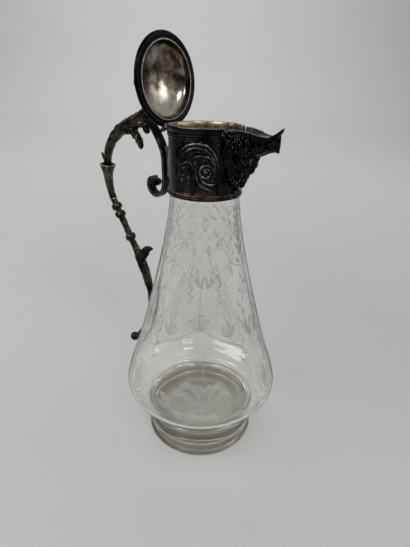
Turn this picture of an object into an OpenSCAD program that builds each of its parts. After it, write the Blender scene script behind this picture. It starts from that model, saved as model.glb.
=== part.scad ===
// Claret jug: a waisted clear glass body in a plated mount with a pouring lip,
// a branch-shaped handle on a scrolled bracket, and a domed lid on a pin hinge.
// Millimetres. +Z is up, +X points to the pouring lip, and the origin is the
// centre of the glass foot's underside. The lid is drawn open, resting back.

/* [Glass] */
// Radius of the foot
foot_r = 41; // [36:0.5:44]
// Height of the straight edge of the foot
foot_edge_h = 3; // [2:0.5:5]
// Radius of the waist above the foot
waist_r = 37.5; // [33:0.5:40]
// Height of the waist
waist_z = 21; // [18:0.5:24]
// Widest radius of the body
belly_r = 56.6; // [53:0.2:58]
// Height of the widest part
belly_z = 49; // [46:0.5:54]
// Radius of the glass just under the mount
neck_r = 22.1; // [20:0.1:23]
// How strongly the cone of the body flares, where 1 is a straight cone
body_flare = 1.3; // [1.15:0.05:1.4]
// Thickness of the glass wall
glass_wall = 2.4; // [1.8:0.1:3.2]
// Height of the inside floor
floor_z = 27; // [25.5:0.5:32]

/* [Mount] */
// Height of the lower edge of the mount
mount_z = 191; // [180:1:205]
// Height of the mount from its lower edge to its rim
mount_h = 41; // [37:0.5:46]
// Thickness of the sheet that the sleeve is rolled from
sheet = 0.8; // [0.6:0.1:1]
// Thickness of the plaster that seats the sleeve on the glass
plaster = 0.7; // [0.5:0.1:0.9]
// Height that the moulding at the foot of the mount takes
foot_moulding_h = 3.4; // [2.6:0.2:4.4]
// How far that moulding stands out of the sleeve
foot_moulding_out = 1.0; // [0.6:0.1:1.4]
// Height that the moulding at the rim takes
top_moulding_h = 6.4; // [5.6:0.2:7.4]
// How far the rim stands out of the sleeve
rim_out = 0.45; // [0.3:0.05:0.6]
// Thickness of the gilded liner
liner = 0.6; // [0.4:0.1:0.8]
// Depth to which the liner goes down inside the rim
liner_depth = 8; // [6:0.5:10]

/* [Side panels] */
// Angle from the pouring lip at which a panel starts
panel_from = 33; // [31:1:38]
// Angle from the pouring lip at which a panel ends
panel_to = 102; // [92:1:115]
// Thickness of a panel
panel_t = 0.5; // [0.4:0.1:0.7]
// Width of the scroll strands
scroll_w = 2.0; // [1.4:0.1:2.4]
// Height of the scroll strands over the panel
scroll_h = 0.9; // [0.5:0.1:1.2]
// Radius at which the big scroll starts
scroll_r = 8; // [6.5:0.5:9]

/* [Pouring lip] */
// Reach of the tip of the lip from the axis
lip_reach = 51.2; // [47:0.2:55]
// Height of the tip above the rim
lip_rise = 2; // [1:0.2:4]
// Half width of the lip at the mount
lip_half_w = 11; // [9:0.5:12]
// Depth of the lip's channel at the mount
lip_depth = 15; // [12:0.5:16]
// Wall of the lip
lip_t = 1.0; // [0.8:0.1:1.3]
// Angle to each side that the leaf ornament under the lip takes
ornament_half = 30; // [26:1:30]
// How far the leaf ornament stands out
ornament_out = 13.5; // [12:0.25:13.75]
// Length of the drop at the foot of the ornament
drop_len = 9; // [7:0.5:11]
// Radius of the drop
drop_r = 2.6; // [2.2:0.1:3]

/* [Handle] */
// Reach of the handle's centre line from the axis
handle_reach = 91.6; // [88:0.2:98]
// Height of the tip of the branch above the rim
branch_rise = 7; // [6:0.5:8]
// Height from the tip of the branch to the knob on the tail
handle_drop = 190.4; // [184:0.2:194]
// Thickest part of the branch
branch_d = 8.6; // [7:0.1:9.6]
// Thinnest part of the stem, under the sleeve
stem_d = 5; // [4.4:0.1:6]
// Thickness of the stem at the leaf spur
spur_stem_d = 7.5; // [6.6:0.1:8.2]
// Thickness of the tail
tail_d = 4.8; // [4:0.1:5.4]
// Diameter of the sleeve's flared rim
sleeve_d = 12; // [10:0.2:13]
// Diameter of the knots on the stem
knot_d = 8.2; // [7.8:0.1:9]
// Radius that rounds the knots
knot_round = 1.6; // [1.4:0.1:1.8]
// Diameter of the knob that ends the tail
knob_d = 7.6; // [6.4:0.2:8.4]
// Thickness of the longer twig at its root
twig_d = 5.6; // [4.8:0.2:6.4]
// Length of the longer twig
long_twig = 18.4; // [16:0.4:21]
// Length of the shorter twig
short_twig = 11.5; // [10:0.5:13]
// Length of the bud over the sleeve
spur_len = 7.1; // [6:0.1:8]
// Thickness of that bud at its root
spur_d = 3.8; // [3.2:0.2:4.4]
// Length of the leaf spur on the stem
leaf_len = 18.2; // [16:0.2:20]
// Width of the leaf spur at its root
leaf_w = 7.6; // [6.8:0.2:8.4]

/* [Bracket] */
// Radius of the bracket's face where it runs along the mount
bracket_r = 31.5; // [29.5:0.1:32]
// Thickness of the bracket band
bracket_t = 2.8; // [2.2:0.1:3.2]
// Width of the bracket band
bracket_w = 6.4; // [5:0.2:8]
// Width of the volute at the band's low end
volute_w = 14.2; // [13.4:0.2:15.4]
// Radius of the buds on the band
bud_r = 1.9; // [1.6:0.1:2.2]
// Thickness of the web behind the bracket
web_t = 3; // [2:0.2:4]
// Height of the web behind the bracket
web_h = 20; // [16:1:24]
// Radius of the eye of the volute
eye_r = 2.7; // [2.2:0.1:2.9]
// Width of the eye of the volute
eye_w = 8; // [7:0.2:10]

/* [Hinge] */
// Distance of the hinge pin from the axis
hinge_x = 25.5; // [25.5:0.1:26.2]
// Depth of the hinge pin below the rim
hinge_drop = 2.2; // [2:0.1:2.6]
// Radius of the hinge pin
pin_r = 0.75; // [0.6:0.05:0.9]
// Outer radius of the knuckles
knuckle_r = 1.6; // [1.45:0.05:1.7]
// Length of the middle knuckle, on the lid
middle_len = 5; // [4:0.2:6]
// Length of each outer knuckle, on the mount
outer_len = 4; // [3:0.2:5]
// Gap between neighbouring knuckles
knuckle_gap = 0.2; // [0.15:0.05:0.3]
// Radius of the heads of the pin
pin_head_r = 1.3; // [1.1:0.05:1.4]
// Play between the pin and the lid's knuckle
pin_play = 0.05; // [0.03:0.01:0.08]
// Angle from closed at which the lid rests back
lid_open = 94; // [90:1:95]

/* [Lid] */
// Outer radius of the lid's ring
lid_r = 27.2; // [26.8:0.1:27.6]
// Inner radius of the lid's ring
lid_ring_in = 22.8; // [22.2:0.1:23.4]
// Height of the lid's ring
lid_ring_h = 2.4; // [2:0.1:3]
// How far the ring stands out of the dome
ring_edge = 1.6; // [1.2:0.1:2]
// Gap between the rim and the lid when it is shut
lid_gap = 0.3; // [0.25:0.05:0.5]
// Height of the dome over the ring
dome_h = 16.6; // [14:0.2:18]
// Depth of the bowl inside, over the ring
bowl_h = 9.4; // [8.4:0.2:10]
// Width of the bright inner ring
bezel_w = 0.8; // [0.6:0.1:1]
// Height of the finial's seat
seat_h = 2.2; // [1.6:0.1:3]
// Height of the finial's button over its seat
button_h = 6.6; // [5.6:0.2:8]
// Radius of the finial's button
button_r = 4.6; // [4:0.1:5.2]
// Height of the thumb lug over the lid's ring
lug_h = 6.5; // [5:0.5:8]
// Thickness of the thumb lug
lug_t = 3.4; // [2.8:0.2:4]
// Room that the handle leaves round the open lid
lid_room = 0.5; // [0.4:0.1:0.8]

/* [Hidden] */

$fn = 64;
eps = 0.01;

// Colours
c_glass = [0.86, 0.89, 0.88, 0.45];
c_plaster = "#C9C3B4";
c_dark = "#26272B";
c_wear = "#5F4B4B";
c_gilt = "#96826A";
c_bronze = "#3C322A";
c_silver = "#B8B5AC";

// Heights and radii of the mount
rim_z = mount_z + mount_h;
glass_top_z = rim_z - lip_depth - 2;
sleeve_in = neck_r - eps;
sleeve_r = sleeve_in + sheet;
glass_neck_r = sleeve_in - plaster;
rim_r = sleeve_r + rim_out;
liner_r = sleeve_in;
panel_r = sleeve_r + panel_t;
panel_z0 = mount_z + foot_moulding_h;
panel_z1 = rim_z - top_moulding_h;
// What hidden faces run past the pieces that cover them
slice = 3;

// Heights and radii of the hinge and of the lid when it is shut
hinge_z = rim_z - hinge_drop;
ring_z0 = rim_z + lid_gap;
ring_z1 = ring_z0 + lid_ring_h;
dome_r = lid_r - ring_edge;
dome_top = ring_z1 + dome_h;
bowl_r = lid_ring_in - bezel_w;
// How far the open lid reaches back
lid_back = hinge_x + dome_top - hinge_z;

// A point of a smooth curve between b and c, with a and d as its neighbours
function between(a, b, c, d, t) =
    0.5 * (2 * b + (c - a) * t + (2 * a - 5 * b + 4 * c - d) * t * t
           + (3 * b - a - 3 * c + d) * t * t * t);
function held(list, i) = list[min(max(i, 0), len(list) - 1)];
// The smooth curve through a list of points or numbers
function flow(list, steps) = [
    for (i = [0 : len(list) - 2], k = [0 : steps - 1])
        between(held(list, i - 1), list[i], list[i + 1], held(list, i + 2), k / steps),
    list[len(list) - 1]
];

// A closed solid through rings of points, each ring turning about the way on
function loft_walls(n, m) = [
    for (i = [0 : n - 2], k = [0 : m - 1])
        let (a = i * m + k, b = i * m + (k + 1) % m, c = b + m, d = a + m)
            each [[a, c, b], [a, d, c]]
];
module loft(rings) {
    n = len(rings);
    m = len(rings[0]);
    first_cap = [for (k = [0 : m - 1]) k];
    last_cap = [for (k = [m - 1 : -1 : 0]) (n - 1) * m + k];
    polyhedron([for (r = rings) each r], concat([first_cap], loft_walls(n, m), [last_cap]),
               convexity = 8);
}
// The same for rings that go out along one curve and back along another, whose
// ends need not be flat: each end is a strip between its two curves
module folded_loft(rings) {
    n = len(rings);
    m = len(rings[0]);
    first = [for (k = [0 : m / 2 - 2])
        each [[k, k + 1, m - 2 - k], [k, m - 2 - k, m - 1 - k]]];
    last = [for (f = first) (n - 1) * m * [1, 1, 1] + [f[2], f[1], f[0]]];
    polyhedron([for (r = rings) each r], concat(first, loft_walls(n, m), last), convexity = 8);
}

// The ring of a round stem at the i-th point [x, z] of a line in the plane of
// symmetry, square to the line there
function stem_ring(line, i, d, sides, flat = 1) =
    let (way = held(line, i + 1) - held(line, i - 1), t = way / norm(way), r = d / 2)
        [for (k = [0 : sides - 1])
            let (q = 360 * k / sides, u = r * cos(q), v = r * flat * sin(q))
                [line[i][0] - t[1] * u, -v, line[i][1] + t[0] * u]];
// A stem that starts at point i0 of a line and has these diameters
module stem(line, dias, sides = 12, flat = 1, i0 = 0) {
    loft([for (i = [0 : len(dias) - 1]) stem_ring(line, i0 + i, dias[i], sides, flat)]);
}

// ---------------------------------------------------------------- glass
// The cone of the body, from the belly to the neck
function cone_r(t) = neck_r + (belly_r - neck_r) * pow(1 - t, body_flare);
cone_top = mount_z - 1;
under_belly = [
    [waist_r, waist_z],
    [waist_r + 0.1 * (belly_r - waist_r), waist_z + 0.22 * (belly_z - waist_z)],
    [waist_r + 0.5 * (belly_r - waist_r), waist_z + 0.45 * (belly_z - waist_z)],
    [waist_r + 0.88 * (belly_r - waist_r), waist_z + 0.72 * (belly_z - waist_z)],
    [belly_r, belly_z],
    [cone_r(0.085), belly_z + 0.1 * (cone_top - belly_z)]
];
cone_points = [
    for (t = [0.2 : 0.1 : 0.91]) [cone_r(t), belly_z + t * (cone_top - belly_z)]
];
foot_flare = [
    [foot_r, foot_edge_h],
    [foot_r - 0.75 * (foot_r - waist_r), foot_edge_h + 0.45 * (waist_z - foot_edge_h)]
];
outline = flow(concat(foot_flare, under_belly, cone_points, [[neck_r, cone_top]]), 4);
// Outer radius of the glass at a height
function glass_r(z) = lookup(z, [for (p = outline) [p[1], p[0]]]);
// The floor is a shallow dish, whose edge is thicker than the wall
floor_edge_z = floor_z + 1.3 * glass_wall;
floor_edge_r = glass_r(floor_edge_z) - 1.3 * glass_wall;
floor_line = [
    [0, floor_z], [0.6 * floor_edge_r, floor_z + 0.25 * glass_wall], [floor_edge_r, floor_edge_z]
];
// The inside follows the outside one wall further in, from the floor's edge up
inside_line = [
    for (p = outline) if (p[1] > floor_edge_z + 2 * glass_wall)
        [p[0] - glass_wall, p[1]]
];
foot_bevel = 0.33 * foot_edge_h;

module glass_body() {
    neck_foot = mount_z - eps;
    color(c_glass) rotate_extrude($fn = 96) difference() {
        polygon(concat(
            [[0, 0], [foot_r - foot_bevel, 0], [foot_r, foot_bevel]], outline,
            [[neck_r, neck_foot], [glass_neck_r, neck_foot],
             [glass_neck_r, glass_top_z], [0, glass_top_z]]
        ));
        polygon(concat(
            floor_line, inside_line,
            [[glass_neck_r - glass_wall, mount_z + glass_wall],
             [glass_neck_r - glass_wall, glass_top_z + 1], [0, glass_top_z + 1]]
        ));
    }
}

module plaster_seat() {
    color(c_plaster) translate([0, 0, mount_z + slice]) difference() {
        cylinder(r = sleeve_in, h = glass_top_z - mount_z - 2 * slice);
        translate([0, 0, -1]) cylinder(r = glass_neck_r, h = mount_h);
    }
}

// ---------------------------------------------------------------- mount
// Stations of the lip as shares of the way from the mount to the tip:
// [way, half width, edge under or over the rim, depth of the channel]
lip_x0 = sleeve_in - 2;
lip_stations = [
    [0, lip_half_w, 0, lip_depth],
    [0.22, 0.84 * lip_half_w, 0, 0.86 * lip_depth],
    [0.42, 0.66 * lip_half_w, -1.1, 0.63 * lip_depth],
    [0.62, 0.51 * lip_half_w, -2.5, 0.4 * lip_depth],
    [0.78, 0.42 * lip_half_w, -2.4, 0.27 * lip_depth],
    [0.9, 0.28 * lip_half_w, -0.5, 0.2 * lip_depth],
    [1, 0.12 * lip_half_w, lip_rise, 0.1 * lip_depth]
];
lip_flow = flow(lip_stations, 3);
lip_arc = [-90 : 15 : 90];
function lip_x(s) = lip_x0 + s[0] * (lip_reach - lip_x0);
// One section of the lip's outer form, grown by g, in the order of its ring
function lip_curve(s, g) = [
    for (a = lip_arc) [lip_x(s), (s[1] + g) * sin(a), rim_z + s[2] - (s[3] + g) * cos(a)]
];
function reversed(list) = [for (i = [len(list) - 1 : -1 : 0]) list[i]];

// The whole space of the lip and what is above it
module lip_space(g = 0) {
    top = rim_z + lip_rise + 3;
    loft([for (s = lip_flow)
        concat(lip_curve(s, g), [[lip_x(s), s[1] + g, top], [lip_x(s), -s[1] - g, top]])]);
}

// The channel of the lip, which runs out past both of its ends
module lip_channel() {
    top = rim_z + 2 * lip_rise;
    ends = [[-0.05, 0], [1.05, len(lip_flow) - 1]];
    stations = concat(
        [[ends[0][0], each tail(lip_flow[ends[0][1]])]], lip_flow,
        [[ends[1][0], each tail(lip_flow[ends[1][1]])]]
    );
    loft([for (s = stations)
        concat(lip_curve(s, -lip_t),
               [[lip_x(s), s[1] - lip_t, top], [lip_x(s), lip_t - s[1], top]])]);
}
function tail(list) = [for (i = [1 : len(list) - 1]) list[i]];

module pouring_lip() {
    color(c_silver) difference() {
        loft([for (s = lip_flow) lip_curve(s, 0)]);
        lip_channel();
        translate([0, 0, mount_z]) cylinder(r = liner_r - liner, h = 2 * mount_h, $fn = 96);
    }
}

module mount_sleeve() {
    color(c_dark) difference() {
        translate([0, 0, mount_z + eps])
            cylinder(r = sleeve_r, h = mount_h - slice, $fn = 96);
        translate([0, 0, mount_z - 1]) cylinder(r = sleeve_in, h = mount_h + 2, $fn = 96);
        lip_space();
    }
}

module mount_foot_moulding() {
    out = foot_moulding_out;
    color(c_wear) rotate_extrude($fn = 96) difference() {
        union() {
            translate([sleeve_r, mount_z]) square([out * 0.6, foot_moulding_h]);
            translate([sleeve_r, mount_z + 0.3 * foot_moulding_h]) circle(r = out, $fn = 24);
            translate([sleeve_r, mount_z + 0.8 * foot_moulding_h]) circle(r = 0.7 * out, $fn = 24);
        }
        translate([0, mount_z - slice]) square([sleeve_r, mount_h]);
        translate([0, mount_z - slice]) square([2 * sleeve_r, slice]);
    }
}

// Two reeds run round under the rim
reed_r = 0.08 * top_moulding_h;
top_out = max(rim_out, reed_r);
module mount_top_moulding() {
    h = top_moulding_h;
    color(c_dark) difference() {
        rotate_extrude($fn = 96) difference() {
            union() {
                translate([sleeve_r - eps, rim_z - h]) square([0.6 * rim_out, h]);
                translate([sleeve_r - eps, rim_z - 0.42 * h]) square([rim_out, 0.42 * h]);
                for (down = [0.92, 0.7])
                    translate([sleeve_r, rim_z - down * h]) circle(r = reed_r, $fn = 24);
            }
            square([sleeve_r, rim_z + 1]);
        }
        lip_space();
    }
}

module rim_liner() {
    color(c_gilt) difference() {
        rotate_extrude($fn = 96) union() {
            translate([liner_r - liner, rim_z - liner_depth]) square([liner, liner_depth]);
            translate([liner_r - liner, rim_z - slice + 2 * eps])
                square([sleeve_r - liner_r + liner, slice]);
        }
        lip_space();
    }
}

// Degrees round the panel that a length takes, and the length that they take
function turn_of(d) = d / panel_r * 180 / PI;
function length_of(a) = a * PI / 180 * panel_r;
// A strand that lies on the panel: points [angle, z], with a half-round section
// that is thinner towards both ends. Its flat face just touches the round panel
function strand_rings(path, w, h) = [
    for (i = [0 : len(path) - 1])
        let (
            last = len(path) - 1,
            step = held(path, i + 1) - held(path, i - 1),
            run = [length_of(step[0]), step[1]],
            t = run / norm(run),
            full = min(1, 0.35 + 4 * min(i, last - i) / last)
        )
            [for (q = [0 : 45 : 180])
                let (
                    across = w * full / 2 * cos(q),
                    r = panel_r + 0.25 * w * w / panel_r + h * full * sin(q),
                    a = path[i][0] - turn_of(t[1] * across)
                )
                    [r * cos(a), r * sin(a), path[i][1] + t[0] * across]]
];
module strand(path, w = scroll_w, h = scroll_h) {
    loft(strand_rings(path, w, h));
}
// A scroll that winds in: centre [angle, z], first radius, turns and where it starts
function scroll(centre, r0, start, turns, steps) = [
    for (i = [0 : steps])
        let (
            f = i / steps,
            r = r0 + (0.5 * scroll_w - r0) * pow(f, 0.8),
            q = start + 360 * turns * f
        )
            [centre[0] + turn_of(r * cos(q)), centre[1] + r * sin(q)]
];
panel_h = panel_z1 - panel_z0;

module side_panel() {
    difference() {
        rotate([0, 0, panel_from]) rotate_extrude(angle = panel_to - panel_from, $fn = 96)
            translate([sleeve_r, panel_z0 + eps]) square([panel_t, panel_h - 2 * eps]);
        lip_space(0.3 * lip_t);
    }
}
module side_panel_far() {
    color(c_dark) side_panel();
}
module side_panel_near() {
    color(c_dark) mirror([0, 1, 0]) side_panel();
}

// The big scroll lies beside the ornament under the lip, with two small ones
// one over the other beside it
module panel_scrolls() {
    small_r = 0.5 * scroll_r;
    big_at = ornament_half + turn_of(scroll_r + scroll_w);
    small_at = big_at + turn_of(scroll_r + small_r + scroll_w);
    strand(scroll([big_at, panel_z0 + 0.45 * panel_h], scroll_r, 180, -1.9, 44));
    strand(scroll([small_at, panel_z0 + 0.26 * panel_h], small_r, -60, 1.4, 26),
           0.8 * scroll_w, 0.85 * scroll_h);
    strand(scroll([small_at, panel_z0 + 0.78 * panel_h], 0.85 * small_r, 210, -1.2, 20),
           0.75 * scroll_w, 0.8 * scroll_h);
}
module panel_scrolls_far() {
    color(c_dark) panel_scrolls();
}
module panel_scrolls_near() {
    color(c_dark) mirror([0, 1, 0]) panel_scrolls();
}

// The leaf ornament hugs the lip from below. Its stations as shares of how far
// it stands out, of the lip's half width and of its own height under the rim
ornament_stations = [
    [0.13, 1.08, 0.976], [0.3, 1.045, 0.932], [0.45, 0.98, 0.8], [0.61, 0.89, 0.7],
    [0.77, 0.8, 0.653], [0.91, 0.69, 0.56]
];
ornament_top = rim_z - 0.19 * top_moulding_h;
ornament_h = ornament_top - mount_z - 0.78 * drop_len;
ornament_gap = 0.15 * lip_t;
function lip_at(way, k) = lookup(way, [for (s = lip_flow) [s[0], s[k]]]);
// One half-round curve under the rim, and the ornament's whole section there
function under(x, half, deep) =
    [for (a = lip_arc) [x, half * sin(a), ornament_top - deep * cos(a)]];
function ornament_ring(x, half, deep) =
    let (
        way = (x - lip_x0) / (lip_reach - lip_x0),
        lip_low = lip_at(way, 3) - lip_at(way, 2) - (rim_z - ornament_top) + ornament_gap
    )
        concat(under(x, half, deep), reversed(under(x, lip_at(way, 1) + ornament_gap, lip_low)));
// The first section is bent round the mount, and round its moulding higher up
function round_mount(ring) = [
    for (p = ring)
        let (r = sleeve_r + ornament_gap + (p[2] > rim_z - 2 * top_moulding_h ? top_out : 0))
            [sqrt(r * r - p[1] * p[1]), p[1], p[2]]
];
module lip_ornament() {
    wide = panel_r * sin(ornament_half);
    first = round_mount(ornament_ring(lip_x0, wide, ornament_h));
    color(c_dark) folded_loft(concat([first], [
        for (s = ornament_stations)
            ornament_ring(sleeve_r + s[0] * ornament_out, s[1] * lip_half_w, s[2] * ornament_h)
    ]));
}

module ornament_drop() {
    color(c_wear) difference() {
        union() {
            translate([sleeve_r + 0.45 * drop_r, 0, mount_z + 0.4 * drop_len])
                sphere(r = drop_r, $fn = 32);
            translate([sleeve_r + 0.3 * drop_r, 0, mount_z + eps])
                cylinder(r1 = 0.35 * drop_r, r2 = 0.9 * drop_r, h = 0.35 * drop_len, $fn = 32);
        }
        cylinder(r = sleeve_r + foot_moulding_out, h = panel_z0 + eps, $fn = 96);
        cylinder(r = sleeve_r, h = 2 * rim_z, $fn = 96);
    }
}

// The leaf that closes the underside of the lip, with its beak-like point:
// [way to the tip, half width, depth] in shares of the lip's own
leaf_line = [
    [0.5, 0.58, 0.99], [0.66, 0.49, 0.83], [0.78, 0.4, 0.73], [0.88, 0.27, 0.71],
    [0.955, 0.09, 0.73]
];
module lip_leaf() {
    color(c_dark) difference() {
        loft([for (s = flow(leaf_line, 3))
            let (x = lip_x(s), w = s[1] * lip_half_w, z = rim_z - s[2] * lip_depth, up = 0.2 * lip_depth,
                 top = rim_z - lip_t)
                [[x, -0.15 * w, z], [x, 0.15 * w, z], [x, 0.8 * w, z + up], [x, w, z + 2.3 * up],
                 [x, 0.6 * w, top], [x, -0.6 * w, top], [x, -w, z + 2.3 * up], [x, -0.8 * w, z + up]]]);
        lip_space(2 * eps);
    }
}

// ---------------------------------------------------------------- centre line
// Centre line of the handle as [way out, way down], from the branch's tip to
// the end of the tail. The way out is a share of what lies between the jug and
// the handle's reach, and the way down a share of the drop
handle_shape = [
    [-0.17, -0.009], [0.03, 0.012], [0.165, 0.037], [0.405, 0.064], [0.64, 0.09],
    [0.815, 0.124], [0.918, 0.159], [0.977, 0.196], [0.994, 0.222], [1, 0.258],
    [0.986, 0.3], [0.954, 0.332], [0.9, 0.361], [0.828, 0.387], [0.746, 0.416],
    [0.657, 0.446], [0.569, 0.474], [0.482, 0.502], [0.383, 0.532], [0.275, 0.563],
    [0.154, 0.602], [0.028, 0.643], [-0.088, 0.689], [-0.149, 0.733], [-0.136, 0.785],
    [-0.068, 0.843], [0.055, 0.901], [0.225, 0.951], [0.398, 0.985]
];
branch_tip_z = rim_z + branch_rise;
// What the handle stays out of: the open lid above, the belly below
function handle_from(down) = lookup(down, [[0.3, lid_back], [0.7, belly_r]]);
handle_points = [
    for (p = handle_shape)
        let (from = handle_from(p[1]))
            [-from - p[0] * (handle_reach - from), branch_tip_z - handle_drop * p[1]]
];

// ---------------------------------------------------------------- bracket
// Centre line of the bracket band: a sweep from the branch down to the straight
// run, in shares of the way there, then the volute in shares of its width
band_x = -(bracket_r + bracket_t / 2);
band_top = (handle_points[1] + handle_points[2]) / 2;
band_run = [band_x, rim_z - 0.73 * mount_h];
sweep_shape = [
    [1, 1], [0.73, 0.89], [0.5, 0.75], [0.31, 0.6], [0.135, 0.426], [0.026, 0.235], [0, 0]
];
volute_shape = [
    [0, 0.18], [-0.11, -0.32], [-0.48, -0.61], [-0.86, -0.465], [-1, -0.11], [-0.89, 0.17],
    [-0.68, 0.2]
];
band_points = concat(
    [for (s = sweep_shape)
        [for (k = [0, 1]) band_run[k] + s[k] * (band_top[k] - band_run[k])]],
    [for (s = volute_shape) [band_x + volute_w * s[0], mount_z + volute_w * s[1]]]
);
band_line = flow(band_points, 4);
band_last = band_line[len(band_line) - 1];
eye_at = [band_last[0] + 0.2 * eye_r, band_last[1] - 0.55 * eye_r - bracket_t / 2];
function offset_line(line, d) = [
    for (i = [0 : len(line) - 1])
        let (way = held(line, i + 1) - held(line, i - 1), t = way / norm(way))
            line[i] + d * [-t[1], t[0]]
];
module along_y(w) {
    translate([0, w / 2, 0]) rotate([90, 0, 0]) linear_extrude(w) children();
}
module band_outline(grow = 0) {
    half = bracket_t / 2 + grow;
    polygon(concat(offset_line(band_line, half), reversed(offset_line(band_line, -half))));
}

module bracket_band() {
    color(c_dark) difference() {
        along_y(bracket_w) band_outline();
        bracket_eye_shape(eps);
        branch_shape();
    }
}

module bracket_eye_shape(grow = 0) {
    translate([eye_at[0], 0, eye_at[1]]) rotate([90, 0, 0])
        cylinder(r = eye_r + grow, h = eye_w + 2 * grow, center = true, $fn = 48);
}
module bracket_eye() {
    color(c_dark) bracket_eye_shape();
}

// The web stands between the bracket and the back of the mount
web_z0 = panel_z0 + 0.1 * web_h;
web_z1 = web_z0 + web_h;
module bracket_web() {
    color(c_dark) difference() {
        along_y(web_t) polygon(concat(
            [[-sleeve_in, web_z0], [-sleeve_in, web_z1]],
            [for (p = band_line)
                if (p[1] < web_z1 && p[1] > web_z0 - 0.1 * web_h && p[0] > band_x - bracket_t) p]
        ));
        along_y(2 * web_t) band_outline(eps);
        translate([0, 0, mount_z - 1]) cylinder(r = sleeve_r, h = mount_h + 2, $fn = 96);
        cylinder(r = sleeve_r + foot_moulding_out + eps, h = panel_z0 + eps, $fn = 96);
    }
}

module bracket_buds() {
    color(c_dark) difference() {
        for (share = [0.37, 0.21])
            translate([band_x - bracket_t / 2 - 0.2 * bud_r, 0, mount_z + share * mount_h])
                sphere(r = bud_r, $fn = 32);
        along_y(2 * bracket_w) band_outline();
    }
}

// ---------------------------------------------------------------- handle
// How many steps the handle's line takes between two of its points
steps_on = 2;
handle_line = flow(handle_points, steps_on);
// Where the pieces of the handle start, as numbers in the list of its points
at_sleeve = 8;
at_stem = 12;
at_tail = 23;
at_end = 28;

branch_dias = [
    0.55 * branch_d, 0.85 * branch_d, branch_d, branch_d, 0.9 * branch_d,
    0.84 * branch_d, 0.74 * branch_d, 0.7 * branch_d, 0.72 * branch_d
];
sleeve_dias = [sleeve_d, 0.62 * sleeve_d, 0.5 * sleeve_d, 1.04 * stem_d, 1.04 * stem_d];
stem_dias = [
    stem_d, stem_d, stem_d, stem_d, stem_d, 1.02 * stem_d, 1.1 * stem_d,
    0.85 * spur_stem_d, spur_stem_d, spur_stem_d, 0.86 * spur_stem_d, 1.15 * tail_d
];
tail_dias = [1.15 * tail_d, tail_d, tail_d, 0.94 * tail_d, 0.84 * tail_d, 0.7 * tail_d];

// A stretch of the handle from its i-th point on, through these diameters
module stretch(i, dias, sides, grow = 0) {
    stem(handle_line, [for (d = flow(dias, steps_on)) d + grow], sides, 1, i * steps_on);
}
module branch_shape() {
    stretch(0, branch_dias, 16);
}
module stem_shape(grow = 0) {
    stretch(at_stem, stem_dias, 12, grow);
}

module handle_branch() {
    color(c_bronze) difference() {
        branch_shape();
        lid_sweep();
    }
}
module handle_sleeve() {
    color(c_bronze) stretch(at_sleeve, sleeve_dias, 16);
}
module handle_stem() {
    color(c_bronze) stem_shape();
}
module handle_tail() {
    color(c_bronze) stretch(at_tail, tail_dias, 12);
}

// A small stem from a point of the handle, with its shape in shares of its
// length and its thickness in shares of its root's
module offshoot(from, shape, len, dias, root, flat = 1) {
    stem(flow([for (s = shape) from + len * s], 3), flow(root * dias, 3), 10, flat);
}

// Two cut twigs under the branch, the longer one further out
module branch_twigs() {
    color(c_bronze) difference() {
        union() {
            offshoot(handle_points[3], [[0.05, -0.05], [0.27, -0.33], [0.47, -0.57], [0.54, -0.84]],
                     long_twig, [1, 0.93, 0.79, 0.57], twig_d);
            offshoot(handle_points[2], [[0.09, -0.09], [0.35, -0.47], [0.555, -0.83]],
                     short_twig, [0.82, 0.71, 0.5], twig_d);
        }
        branch_shape();
        along_y(2 * bracket_w) band_outline(eps);
    }
}

// A broken bud on the outside, just over the sleeve
module branch_spur() {
    color(c_bronze) difference() {
        offshoot(handle_points[7], [[0, -0.21], [-0.56, -0.085], [-0.87, 0.48]],
                 spur_len, [1, 0.84, 0.47], spur_d);
        branch_shape();
        handle_sleeve();
    }
}

// Knots are rings that the stem runs through
module stem_knots() {
    color(c_bronze) difference() {
        for (i = [13, 14, 17]) {
            way = handle_points[i + 1] - handle_points[i - 1];
            translate([handle_points[i][0], 0, handle_points[i][1]])
                rotate([0, atan2(way[0], way[1]), 0])
                    rotate_extrude($fn = 48) translate([knot_d / 2 - knot_round, 0])
                        circle(r = knot_round, $fn = 24);
        }
        stem_shape(2 * eps);
    }
}

module leaf_spur() {
    color(c_bronze) difference() {
        offshoot(handle_points[19], [[0.08, -0.27], [0.36, 0.055], [0.6, 0.31], [0.91, 0.41]],
                 leaf_len, [1, 0.79, 0.55, 0.24], leaf_w, 0.62);
        stem_shape();
    }
}

module tail_knob() {
    last = handle_points[at_end];
    color(c_bronze) difference() {
        translate([last[0] - 0.36 * knob_d, 0, last[1] - 0.3 * knob_d])
            sphere(r = knob_d / 2, $fn = 48);
        handle_tail();
    }
}

// ---------------------------------------------------------------- hinge
half_mid = middle_len / 2;
half_all = half_mid + knuckle_gap + outer_len;
module at_hinge() {
    translate([-hinge_x, 0, hinge_z]) rotate([90, 0, 0]) children();
}

module hinge_knuckles() {
    color(c_dark) difference() {
        for (s = [-1, 1]) translate([0, s * (half_all - outer_len / 2), 0]) {
            at_hinge() cylinder(r = knuckle_r, h = outer_len, center = true, $fn = 48);
            translate([-hinge_x, -outer_len / 2, hinge_z - 3 * knuckle_r])
                cube([hinge_x - sleeve_in, outer_len, 3 * knuckle_r]);
        }
        translate([0, 0, mount_z]) cylinder(r = sleeve_r + top_out + eps, h = mount_h, $fn = 96);
        at_hinge() cylinder(r = pin_r + eps, h = 4 * half_all, center = true, $fn = 48);
    }
}

module hinge_pin() {
    head = 0.6 * pin_head_r;
    color(c_silver) at_hinge() union() {
        cylinder(r = pin_r, h = 2 * (half_all + head), center = true, $fn = 48);
        for (s = [-1, 1]) translate([0, 0, s * (half_all + head / 2 + eps)])
            cylinder(r = pin_head_r, h = head, center = true, $fn = 48);
    }
}

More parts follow.
